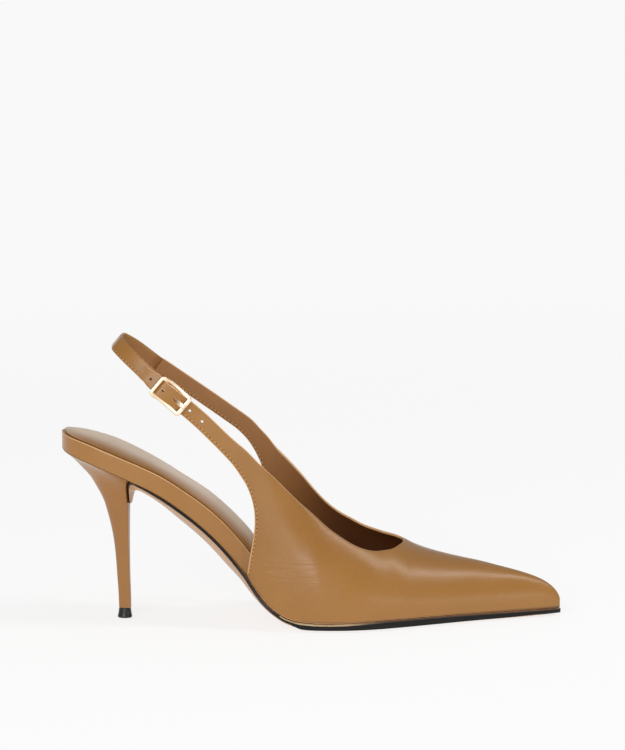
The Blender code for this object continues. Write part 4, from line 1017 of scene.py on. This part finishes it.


# Upper: one skin with its outside, its lining and the folded edges between them, which carry a
# painted highlight
def make_upper():
    index, outer, inner, rim = {}, [], [], []
    vamp_count = len(VAMP_ROWS) + 1

    def number(side, from_toe, column, pair):
        if column == SIDE_COLUMNS and from_toe < vamp_count:
            side = "ridge"
        key = (side, from_toe, column)
        if key not in index:
            index[key] = len(outer)
            outer.append(pair[0])
            inner.append(pair[1])
        return index[key]

    sheet = []
    for side in ("lateral", "medial"):
        outside, inside = wing_rows(side, False), wing_rows(side, True)
        numbers = []
        for r, (a, b) in enumerate(zip(outside, inside)):
            first = SIDE_COLUMNS + 1 - len(a)
            from_toe = len(outside) - 1 - r
            numbers.append([None] * first + [number(side, from_toe, first + i, pair)
                                             for i, pair in enumerate(zip(a, b))])
        for low, high in zip(numbers, numbers[1:]):
            for column in range(SIDE_COLUMNS):
                face = (low[column], high[column], high[column + 1], low[column + 1])
                if None not in face:
                    sheet.append(face if side == "lateral" else face[::-1])
    tip = [index[("lateral", 0, c)] for c in range(SIDE_COLUMNS)]
    tip += [index[("ridge", 0, SIDE_COLUMNS)]]
    tip += [index[("medial", 0, c)] for c in range(SIDE_COLUMNS - 1, -1, -1)]
    for i in range(len(tip) // 2 - 1):
        a, b = tip[i], tip[i + 1]
        c, d = tip[-2 - i], tip[-1 - i]
        sheet.append((d, c, b, a))
    count = len(outer)
    directed = {(face[i], face[(i + 1) % len(face)]) for face in sheet for i in range(len(face))}
    faces = list(sheet) + [tuple(i + count for i in face[::-1]) for face in sheet]
    border = [edge for edge in directed if edge[::-1] not in directed]
    on_border = {i for edge in border for i in edge}
    lowest = {i for (side, row, column), i in index.items() if column == 0}
    inward = {}
    for a, b in directed:
        for i, j in ((a, b), (b, a)):
            if i in on_border and j not in on_border:
                inward.setdefault(i, []).append(outer[j])
    fold = {}
    for i in sorted(on_border):
        middle = (outer[i] + inner[i]) / 2
        if i in inward and i not in lowest:
            away = outer[i] - sum(inward[i], Vector()) / len(inward[i])
            middle += away.normalized() * (outer[i] - inner[i]).length * FOLD_BULGE
        fold[i] = 2 * count + len(fold)
        rim.append(middle)
    for a, b in border:
        faces += [(b, a, fold[a], fold[b]), (fold[b], fold[a], a + count, b + count)]

    last_row = max(row for side, row, column in index if side == "medial")
    lap_end = {i for (side, row, column), i in index.items()
               if side == "medial" and row == last_row}

    def pick(face):
        if max(face) >= 2 * count:
            return 1 if sum(i % count in lap_end for i in face if i < 2 * count) == 2 else 2
        return 1 if min(face) >= count else 0

    upper = make_piece("upper_skin", outer + inner + rim, faces,
                       [outer_leather, lining_leather, fold_highlight_leather], levels=1, pick=pick)
    settle(upper)
    punch(upper)
    return stand_in(upper, "upper_leather", "upper")


def punch(upper):
    """The strap's holes, with the middle one drawn long by the prong."""
    sides = 32
    points, faces = [], []
    for hole in range(HOLES):
        distance = (hole - PRONG_HOLE) * HOLE_PITCH + PRONG_PLACE
        pull = PRONG_PULL if hole == PRONG_HOLE else 0.0
        rings = []
        for out in (-1.2 * WALL, 5.5 * WALL):
            ring = []
            for i in range(sides):
                angle = 2 * math.pi * i / sides
                along = math.cos(angle) * HOLE / 2
                ring.append(strap_point(distance + along + math.copysign(pull, along),
                                        math.sin(angle) * HOLE / 2, out))
            rings.append(ring)
        more, sheet = loft(rings, (0, 1), base=len(points))
        points += more
        faces += sheet
    cut_out(upper, make_piece("punch", points, faces, [lining_leather]))


def sling_ring(line, place, thick=SLING, base=0.0, narrow=1.0):
    """Ring of the sling at a place on one of its lines: the strap's, the loop's or the lap's."""
    return [line(place, across * narrow * STRAP_WIDTH / 2, base + (1 - height) * thick)
            for across, height in SLING_EDGE]


def make_sling():
    under = CENTRE_BAR_OUT * WALL - CENTRE_WIRE / 2 - GAP
    bar = CENTRE_BAR_PLACE * BUCKLE_LENGTH
    rings = hook_rings()
    rings += [sling_ring(strap_point, bar + share * CENTRE_WIRE, mix(SLING_TAB, SLING, full),
                         (under - SLING_TAB) * low) for share, low, full in TAB_ROWS]
    rings += [sling_ring(loop_point, turn)
              for turn in [-t for t in LOOP_ROWS[::-1]] + list(LOOP_ROWS[1:-1])]
    rings += [sling_ring(lap_point, station, SLING, LAP_OUT * WALL,
                         LAP_END if station == LAP_ROWS[-1] else 1.0) for station in LAP_ROWS]
    count = len(SLING_EDGE)
    points, faces = loft(rings, (0, -1))
    inner_face = SLING_EDGE.index((0.9, 1.0))
    sling = make_piece("sling_skin", points, faces, [strap_leather, lining_leather], levels=2,
                       pick=lambda face: int(len(face) == 4 and face[0] % count == inner_face))
    settle(sling)
    middle = strap_point(bar, 0.0, 0.0)
    along = (strap_point(bar + GAP, 0.0, 0.0) - strap_point(bar - GAP, 0.0, 0.0)).normalized()
    normal = strap_line("lateral", strap_place(bar))[2].cross(along).normalized()
    if normal.y > 0:
        normal = -normal
    across = normal.cross(along)
    box = [middle + along * u * PRONG_WIRE + across * w * PRONG_WIRE + normal * out * WALL
           for out in (-1.0, 4.0) for u, w in ((-2.2, -1), (2.6, -1), (2.6, 1), (-2.2, 1))]
    cutter = make_piece("slot", box, ((0, 1, 2, 3), (4, 7, 6, 5), (0, 4, 5, 1), (1, 5, 6, 2),
                                      (2, 6, 7, 3), (3, 7, 4, 0)), [strap_leather])
    cut_out(sling, cutter)
    return stand_in(sling, "strap_leather", "sling_strap")


# Sole, board, sock and heel
# Painted edge of the outsole: width of the pale line along its top and of the black paint
EDGE_PAINT = table(
    "station pale black",
    (0.16, 0.00012, 0.0009), (0.2, 0.00012, 0.0015), (0.25, 0.00012, 0.0018),
    (0.33, 0.00015, 0.002), (0.4, 0.0002, 0.0022), (0.44, 0.00035, 0.0028), (0.47, 0.0005, 0.006),
    (0.56, 0.0006, 0.006), (0.62, 0.00035, 0.006), (0.7, 0.00015, 0.006),
    (1.0, 0.00012, 0.006))
PAINT_UNDER = 0.46         # station from which the paint rounds the lower edge
PALE_START = 0.43          # station from which the pale edge line shows
TONGUE_STATION = 0.16      # station whose paint the tongue takes
PAINT_TIP = 0.93           # station from which the paint reaches further under the toe
PAINT_TIP_RUN = 0.05
BARE, BLACK, PALE = range(3)


def edge_lines(ring, wide, station):
    """The ring with four more points on each side: two supports and the limits of the paint."""
    top, bottom = ring[:wide], ring[wide:]
    edges = []
    for a, b in ((top[-1], bottom[0]), (top[0], bottom[-1])):
        depth = max(math.dist(a, b), GAP)
        pale = min(0.4, max(0.05, read(EDGE_PAINT, "pale", station) / depth))
        black = min(0.93, max(pale + 0.1, read(EDGE_PAINT, "black", station) / depth))
        edges.append([tuple(mix(a[k], b[k], t) for k in range(3))
                      for t in (pale * 0.5, pale, black, max(0.96, black + 0.02))])
    return top + edges[0] + bottom + edges[1][::-1]


def make_outsole():
    wide = len(SOLE_ACROSS)
    stations = (TONGUE_STATION,) * len(TONGUE["row"]) + SOLE_ROWS
    plain = [tongue_ring(row) for row in range(len(TONGUE["row"]))]
    plain += [sole_ring(station) for station in SOLE_ROWS]
    rings = [edge_lines(ring, wide, station) for ring, station in zip(plain, stations)]
    count = len(rings[0])
    last_line = count - 1
    points, faces = loft(rings, (0,))

    def pick(face):
        """Paint by the line along the ring that the face starts from, counted down the edge."""
        if len(face) > 4:
            return BLACK
        station = stations[face[0] // count]
        line = face[0] % count
        if line < wide - 1:
            return BARE
        down = min(line - (wide - 1), last_line - line)
        if down < 2:
            return PALE if station > PALE_START else BLACK
        if down == 2:
            return BLACK
        reach = 6 + round(3 * ease((station - PAINT_TIP) / PAINT_TIP_RUN))
        return BLACK if down < reach and station >= PAINT_UNDER else BARE

    sole = make_piece("outsole_skin", points, faces, [sole_leather, black_edge, pale_edge_line],
                      levels=1, pick=pick)
    return stand_in(settle(sole), "outsole_leather", "outsole")


# Across the board and the sock, with lines close to the edge that keep it narrow
BOARD_LINES = (-1.0, -0.988, -0.92, -0.75, -0.55, -0.35, -0.17, 0.0, 0.17, 0.35, 0.55, 0.75, 0.92,
               0.988, 1.0)


def plate(name, material, slot, node, margin, low, high, lip=None):
    """A plate that follows the last's bottom, with a soft rolled edge and perhaps a lip painted
    paler as a highlight.
    """
    rings = []
    for t in BOARD_ROWS:
        station, lateral, medial = board_frame(t, margin)
        narrow = t in (0.0, 1.0)
        top, bottom = [], []
        for across in BOARD_LINES:
            y = mix(lateral, medial, (across + 1) / 2)
            roll = BOARD_ROUND * (0.8 if abs(across) == 1.0 or narrow else 0.0)
            top.append((x_at(station), y, high(station, y) - roll))
            bottom.append((x_at(station), y, low(station, y)))
        sides = [[tuple(mix(a, b, share) for a, b in zip(top[i], bottom[i]))
                  for share in (0.05, 0.96)] for i in (0, -1)]
        rings.append(top + sides[1] + bottom[::-1] + sides[0][::-1])
    count = len(rings[0])
    last_top = len(BOARD_LINES) - 1

    def pick(face):
        places = sorted(i % count for i in face)
        return int(lip is not None and (places[:2] == [0, 0] and places[-1] == 1
                                        or places[0] == last_top - 1 and places[-1] == last_top))

    piece = make_piece(name, *loft(rings), [material, lip] if lip else [material], levels=1,
                       pick=pick)
    return stand_in(settle(piece), slot, node)


def make_board():
    return plate("rand_skin", rand_leather, "cover_leather", "insole_board", 0.0,
                 lambda station, y: bed(station, y) + SEAM, board_top, fold_highlight_leather)


def sock_top(station, y):
    lateral, medial = plan(station)
    middle = (lateral + medial) / 2
    crown = max(0.0, 1 - ((y - middle) / max((medial - lateral) / 2, GAP)) ** 2)
    return board_top(station, y) + GAP + SOCK + SOCK_CROWN * (crown - 0.5)


def make_sock():
    return plate("sock_skin", sock_leather, "sock_leather", "insole_sock", SOCK_MARGIN,
                 lambda station, y: board_top(station, y) + GAP, sock_top)


def heel_ring(height, breast_points, back_points):
    share = height / HEEL_HEIGHT
    back, front = read(HEEL, "back", share), read(HEEL, "front", share)
    side, tilt = read(HEEL, "side", share) * BALL_WIDTH, read(HEEL, "tilt", share)
    ring = []
    for i in range(breast_points):
        y = side * BREAST_WIDTH * mix(-1, 1, i / (breast_points - 1))
        ring.append((x_at(front) - breast_bow(y, side), y))
    for i in range(back_points):
        angle = math.pi * (i + 0.5) / back_points
        c, s = math.cos(angle), math.sin(angle)
        y = side * math.copysign(abs(c) ** HEEL_SQUARE, c)
        x = x_at(mix(front, back, s ** HEEL_SQUARE))
        ring.append((min(x, x_at(front) - breast_bow(y, side)), y))
    seat = bed(HEEL["front"][-1])
    return [(x, y, height + tilt * (bed(station_at(x)) - GAP - seat)) for x, y in ring]


def seat_ring(breast_points, back_points):
    front = HEEL["front"][-1]
    lateral, medial = plan(front)
    ring = []
    for i in range(breast_points):
        y = mix(lateral, medial, mix(0.02, 0.98, i / (breast_points - 1)))
        ring.append((x_at(front) - breast_bow(y, medial) * 0.5, y))
    for i in range(back_points):
        angle = math.pi * (i + 0.5) / back_points
        station = max(0.0, front * (1 - math.sin(angle)))
        sides = plan(station)
        y = sides[1] if math.cos(angle) > 0 else sides[0]
        if abs(math.cos(angle)) < 0.5 / back_points:
            y = 0.0
        ring.append((x_at(station), y))
    return [(x, y, bed(station_at(x)) - SEAM) for x, y in ring]


def make_heel():
    breast, back = 13, 33
    heights = [h * HEEL_HEIGHT for h in HEEL["height"]]
    heights[0] = TOP_LIFT_HEIGHT + GAP
    rings = [heel_ring(h, breast, back) for h in denser(heights[:-1])]
    rings.insert(1, heel_ring(mix(heights[0], heights[1], 0.03), breast, back))
    seat = seat_ring(breast, back)
    rings.append([tuple(mix(a, b, 0.95) for a, b in zip(*pair)) for pair in zip(rings[-1], seat)])
    rings += [seat, drawn_in(seat, 0.04)]
    rings.insert(0, drawn_in(rings[0], 0.06))
    heel = make_piece("heel_cover", *loft(rings, (0, -1)), [heel_leather], levels=1, sharp=55)
    return stand_in(settle(heel), "heel_leather", "heel")


LIFT_SIDES = 48
LIFT_FLAT = 0.9            # where its front is cut flat, as a share of its half length


def make_top_lift():
    back, front = HEEL["back"][0], HEEL["front"][0]
    middle = x_at((back + front) / 2)
    width = HEEL["side"][0] * BALL_WIDTH * 2
    length = (front - back) * LENGTH
    flare = TOP_LIFT_LENGTH / length
    rings = []
    profile = ((0.0, flare * 0.93), (0.0003, flare * 0.985), (0.0007, flare),
               (0.0011, flare * 0.96), (0.0017, mix(1.0, flare, 0.62)),
               (0.0028, mix(1.0, flare, 0.30)), (TOP_LIFT_HEIGHT - 0.0006, 1.02),
               (TOP_LIFT_HEIGHT - 0.0001, 1.0), (TOP_LIFT_HEIGHT, 0.97))
    for height, grow in profile:
        ring = []
        for i in range(LIFT_SIDES):
            angle = 2 * math.pi * i / LIFT_SIDES
            x = math.cos(angle) * length / 2 * grow
            y = math.sin(angle) * width / 2 * grow
            ring.append((middle + min(x, length / 2 * grow * LIFT_FLAT), y, height))
        rings.append(ring)
    lift = make_piece("top_lift_fine", *loft(rings, (0, -1)), [lift_rubber], sharp=40)
    return stand_in(lift, "top_lift_rubber", "top_lift")


def make_buckle():
    half_length = BUCKLE_LENGTH / 2 - (BACK_BAR + FRONT_BAR) / 2
    half_width = BUCKLE_WIDTH / 2 - SIDE_BAR
    corner = BUCKLE_CORNER * BUCKLE_LENGTH
    outline = []
    for sx, sy, start in ((1, 1, 0), (-1, 1, 90), (-1, -1, 180), (1, -1, 270)):
        for i in range(11):
            angle = math.radians(start + 90 * i / 10)
            outline.append((sx * (half_length - corner) + corner * math.cos(angle),
                            sy * (half_width - corner) + corner * math.sin(angle)))
        if start in (0, 180):
            rail = (0.25, 0.17, 0.08, 0.0, -0.06, -0.12, -0.17, -0.22, -0.26, -0.29)
            for share in rail if sy > 0 else rail[::-1]:
                outline.append((share * BUCKLE_LENGTH, sy * half_width))
    path = [strap_point(u, w, read(RAIL, "out", u / BUCKLE_LENGTH) * WALL) for u, w in outline]
    halves = []
    for u, w in outline:
        end = FRONT_BAR if u > 0 else BACK_BAR
        to_end = ease((abs(u) - half_length + corner) / corner)
        halves.append((mix(SIDE_BAR, end, to_end), BAR_THICK))
    rings = bar_rings(path, halves, WIRE_SIDES, True)
    points, faces = loft(rings, closed=True)
    level = read(RAIL, "out", CENTRE_BAR_PLACE)
    ends = [strap_point(CENTRE_BAR_PLACE * BUCKLE_LENGTH, w * half_width, out * WALL)
            for w, out in ((-1.0, level), (-0.93, mix(level, CENTRE_BAR_OUT, 0.6)),
                           (-0.84, CENTRE_BAR_OUT), (0.0, CENTRE_BAR_OUT),
                           (0.84, CENTRE_BAR_OUT), (0.93, mix(level, CENTRE_BAR_OUT, 0.6)),
                           (1.0, level))]
    more, wire = loft(tube_rings(ends, CENTRE_WIRE / 2, WIRE_SIDES), base=len(points))
    buckle = make_piece("buckle_frame_fine", points + more, faces + wire, [pale_gold], levels=1)
    return stand_in(buckle, "buckle_metal", "buckle_frame")


def make_prong():
    bar = CENTRE_BAR_PLACE * BUCKLE_LENGTH
    level = CENTRE_BAR_OUT * WALL
    radius = CENTRE_WIRE / 2 + GAP + PRONG_WIRE / 2
    places = []
    for i in range(CURL_STEPS + 1):
        angle = math.radians(CURL_START - CURL * i / CURL_STEPS)
        places.append((bar + radius * math.cos(angle), level + radius * math.sin(angle), 0.0))
    places += [(along * BUCKLE_LENGTH, out * WALL, ease((along - BLADE_START) / BLADE_RUN))
               for along, out in PRONG]
    path = [strap_point(along, 0.0, out) for along, out, _ in places]
    halves = [(mix(PRONG_WIRE / 2, BLADE, wide), PRONG_WIRE / 2) for _, _, wide in places]
    halves[-1] = (BLADE * 0.8, PRONG_WIRE * 0.4)
    rings = bar_rings(path, halves, BLADE_SIDES, False, 2.4)
    prong = make_piece("prong_fine", *loft(rings, (0, -1)), [pale_gold], levels=1)
    return stand_in(prong, "prong_metal", "buckle_prong")


# Stitches
PITCH = 0.00215
THREAD = 0.00019           # radius of the thread
SEAM_INSET = 0.0011        # from the edge to the seam
NEEDLE_HOLE = 0.00030
# Along one stitch: place, and thickness as a share of the thread's
STITCH = ((0.0, 0.25), (0.06, 0.75), (0.25, 1.0), (0.75, 1.0), (0.94, 0.75), (1.0, 0.25))


def edge_path(side, start, inner):
    """Seam beside the strap's lower edge and down the wing's back edge to the sole."""
    path = []
    steps = 30
    for i in range(steps):
        station = mix(start, STRAP_SIDE[side]["station"][-1], i / steps)
        middle, _, across = strap_line(side, station)
        point = middle - across * (STRAP_WIDTH / 2 - SEAM_INSET)
        path.append((station_at(point.x), point.z))
    flare = FLARE[side]
    for row in range(len(flare["row"]) - 1):
        low = Vector((flare["low"][row] * LENGTH, flare["low_height"][row] * STRAP_HEIGHT))
        high = Vector((flare["high"][row] * LENGTH, flare["high_height"][row] * STRAP_HEIGHT))
        place = low + (high - low).normalized() * SEAM_INSET
        path.append((place.x / LENGTH, place.y))
    top, bottom = WING["height"][-1], WING["height"][0]
    for i in range(1, steps + 1):
        height = mix(top, bottom, i / steps)
        path.append((read(WING, side, height) + SEAM_INSET / LENGTH, height * STRAP_HEIGHT))
    return [wall_place(side, station, height, inner) for station, height in path]


def loop_path():
    """Seam beside the lower edge of the strap round the heel."""
    return [loop_point(i / 20 - 1.0, SEAM_INSET - STRAP_WIDTH / 2, SLING) for i in range(17)]


def evenly(path, pitch):
    """Points along a line at an even pitch."""
    result = []
    due = 0.0
    for a, b in zip(path, path[1:]):
        run = (b - a).length
        while due <= run:
            result.append(a.lerp(b, due / run))
            due += pitch
        due -= run
    return result


def make_stitches(name, path, skin, slot):
    """A row of stitches, each a short rounded thread between two needle holes, laid on a skin."""
    mesh = skin.data
    tree = BVHTree.FromPolygons([v.co for v in mesh.vertices], [p.vertices for p in mesh.polygons])
    places = []
    for point in evenly(path, PITCH):
        spot, normal, _, _ = tree.find_nearest(point)
        if (spot - point).length < 4 * SEAM_INSET:
            places.append((spot, normal))
    points, pale, dark = [], [], []

    def add(faces, rings, caps):
        more, sheet = loft(rings, caps, base=len(points))
        points.extend(more)
        faces.extend(sheet)

    for (a, normal), (b, _) in zip(places, places[1:]):
        if (b - a).length > 1.6 * PITCH:
            continue
        along = (b - a).normalized()
        across = along.cross(normal).normalized()
        up = across.cross(along).normalized()
        if up.dot(normal) < 0:
            up = -up
        gap = NEEDLE_HOLE * 0.7
        start, length = a + along * gap, (b - a).length - 2 * gap
        add(pale, [[start + along * length * t + spoke * THREAD * full
                    + up * THREAD * (4 * t * (1 - t) * 0.7 - 0.25)
                    for spoke in spokes(across, up, 8)] for t, full in STITCH], (0, -1))
    for spot, normal in places:
        across = normal.orthogonal().normalized()
        add(dark, [[spot + normal * rise + spoke * NEEDLE_HOLE * radius
                    for spoke in spokes(across, normal.cross(across), 10)]
                   for radius, rise in ((1.0, 0.00003), (0.45, 0.00005))], (1,))
    dark_set = set(dark)
    piece = make_piece(name, points, pale + dark, [thread, hole_shade],
                       pick=lambda face: int(face in dark_set))
    return stand_in(piece, slot)


upper = make_upper()
sling = make_sling()
make_stitches("stitches_outer", edge_path("lateral", 0.256, False), upper, "upper_leather")
make_stitches("stitches_inner", edge_path("medial", 0.206, False), upper, "upper_leather")
make_stitches("stitches_lining", edge_path("medial", 0.206, True), upper, "upper_leather")
make_stitches("stitches_sling", loop_path(), sling, "strap_leather")
make_outsole()
make_board()
make_sock()
make_heel()
make_top_lift()
make_buckle()
make_prong()


# Studio
FLOOR_TINT = 0.27          # grey of the ground near the shoe, which takes the shade
FLOOR_GLOW = 0.76          # its own light there
FAR_GLOW = 0.945           # its light beyond FLOOR_REACH, where it is even
FLOOR_REACH = 1.6


def grey(value):
    return (value, value, value, 1.0)


def make_floor():
    """Pale ground: lit near the shoe, so that it takes its soft shade, and even further out."""
    side = 30.0
    mesh = bpy.data.meshes.new("floor")
    mesh.from_pydata([(-side, -side, 0), (side, -side, 0), (side, side, 0), (-side, side, 0)], [],
                     [(0, 1, 2, 3)])
    floor = bpy.data.objects.new("floor", mesh)
    bpy.context.scene.collection.objects.link(floor)
    made = Shader("Floor")
    close = made.near((0.0, 0.0, 0.0), FLOOR_REACH)
    tint = made.blend(close, grey(0.0), grey(FLOOR_TINT))
    glow = made.blend(close, grey(FAR_GLOW), grey(FLOOR_GLOW))
    made.set(Base_Color=tint, Roughness=0.9, Specular_IOR_Level=0.0, Emission_Color=glow,
             Emission_Strength=1.0)
    mesh.materials.append(made.material)


def area_light(name, place, aim, size, power, shows=True):
    lamp = bpy.data.lights.new(name, "AREA")
    lamp.shape = "RECTANGLE"
    lamp.size, lamp.size_y = size
    lamp.energy = power
    thing = bpy.data.objects.new(name, lamp)
    thing.location = place
    thing.rotation_euler = (Vector(aim) - Vector(place)).to_track_quat("-Z", "Y").to_euler()
    thing.visible_camera = shows
    bpy.context.scene.collection.objects.link(thing)


def make_studio():
    scene = bpy.context.scene
    world = bpy.data.worlds.new("Studio")
    world.use_nodes = True
    world.node_tree.nodes["Background"].inputs["Color"].default_value = (1.0, 1.0, 1.0, 1.0)
    world.node_tree.nodes["Background"].inputs["Strength"].default_value = 0.42
    scene.world = world
    scene.view_settings.view_transform = "Standard"
    make_floor()
    centre = (0.0, 0.0, 0.05)
    area_light("top strip", (1.1, -0.2, 1.35), (0.05, 0.0, 0.03), (0.25, 1.2), 7.0)
    area_light("front fill", (-0.6, -1.7, 0.7), centre, (1.2, 1.0), 17.0)
    area_light("low side", (1.0, -1.1, 0.15), (0.04, 0.0, 0.02), (0.5, 0.15), 0.9)
    area_light("back glow", (-0.35, 1.7, 0.17), centre, (1.3, 0.20), 1.1, shows=False)


def make_camera():
    look, distance, rise = Vector((-0.0076, 0.0, 0.121)), 1.5, math.radians(8.0)
    camera = bpy.data.cameras.new("camera")
    camera.sensor_width = 36.0
    camera.lens = 146.9
    camera.clip_start = 0.01
    thing = bpy.data.objects.new("camera", camera)
    thing.location = look + Vector((0.0, -math.cos(rise), math.sin(rise))) * distance
    thing.rotation_euler = (look - thing.location).to_track_quat("-Z", "Y").to_euler()
    bpy.context.scene.collection.objects.link(thing)
    bpy.context.scene.camera = thing


make_studio()
make_camera()
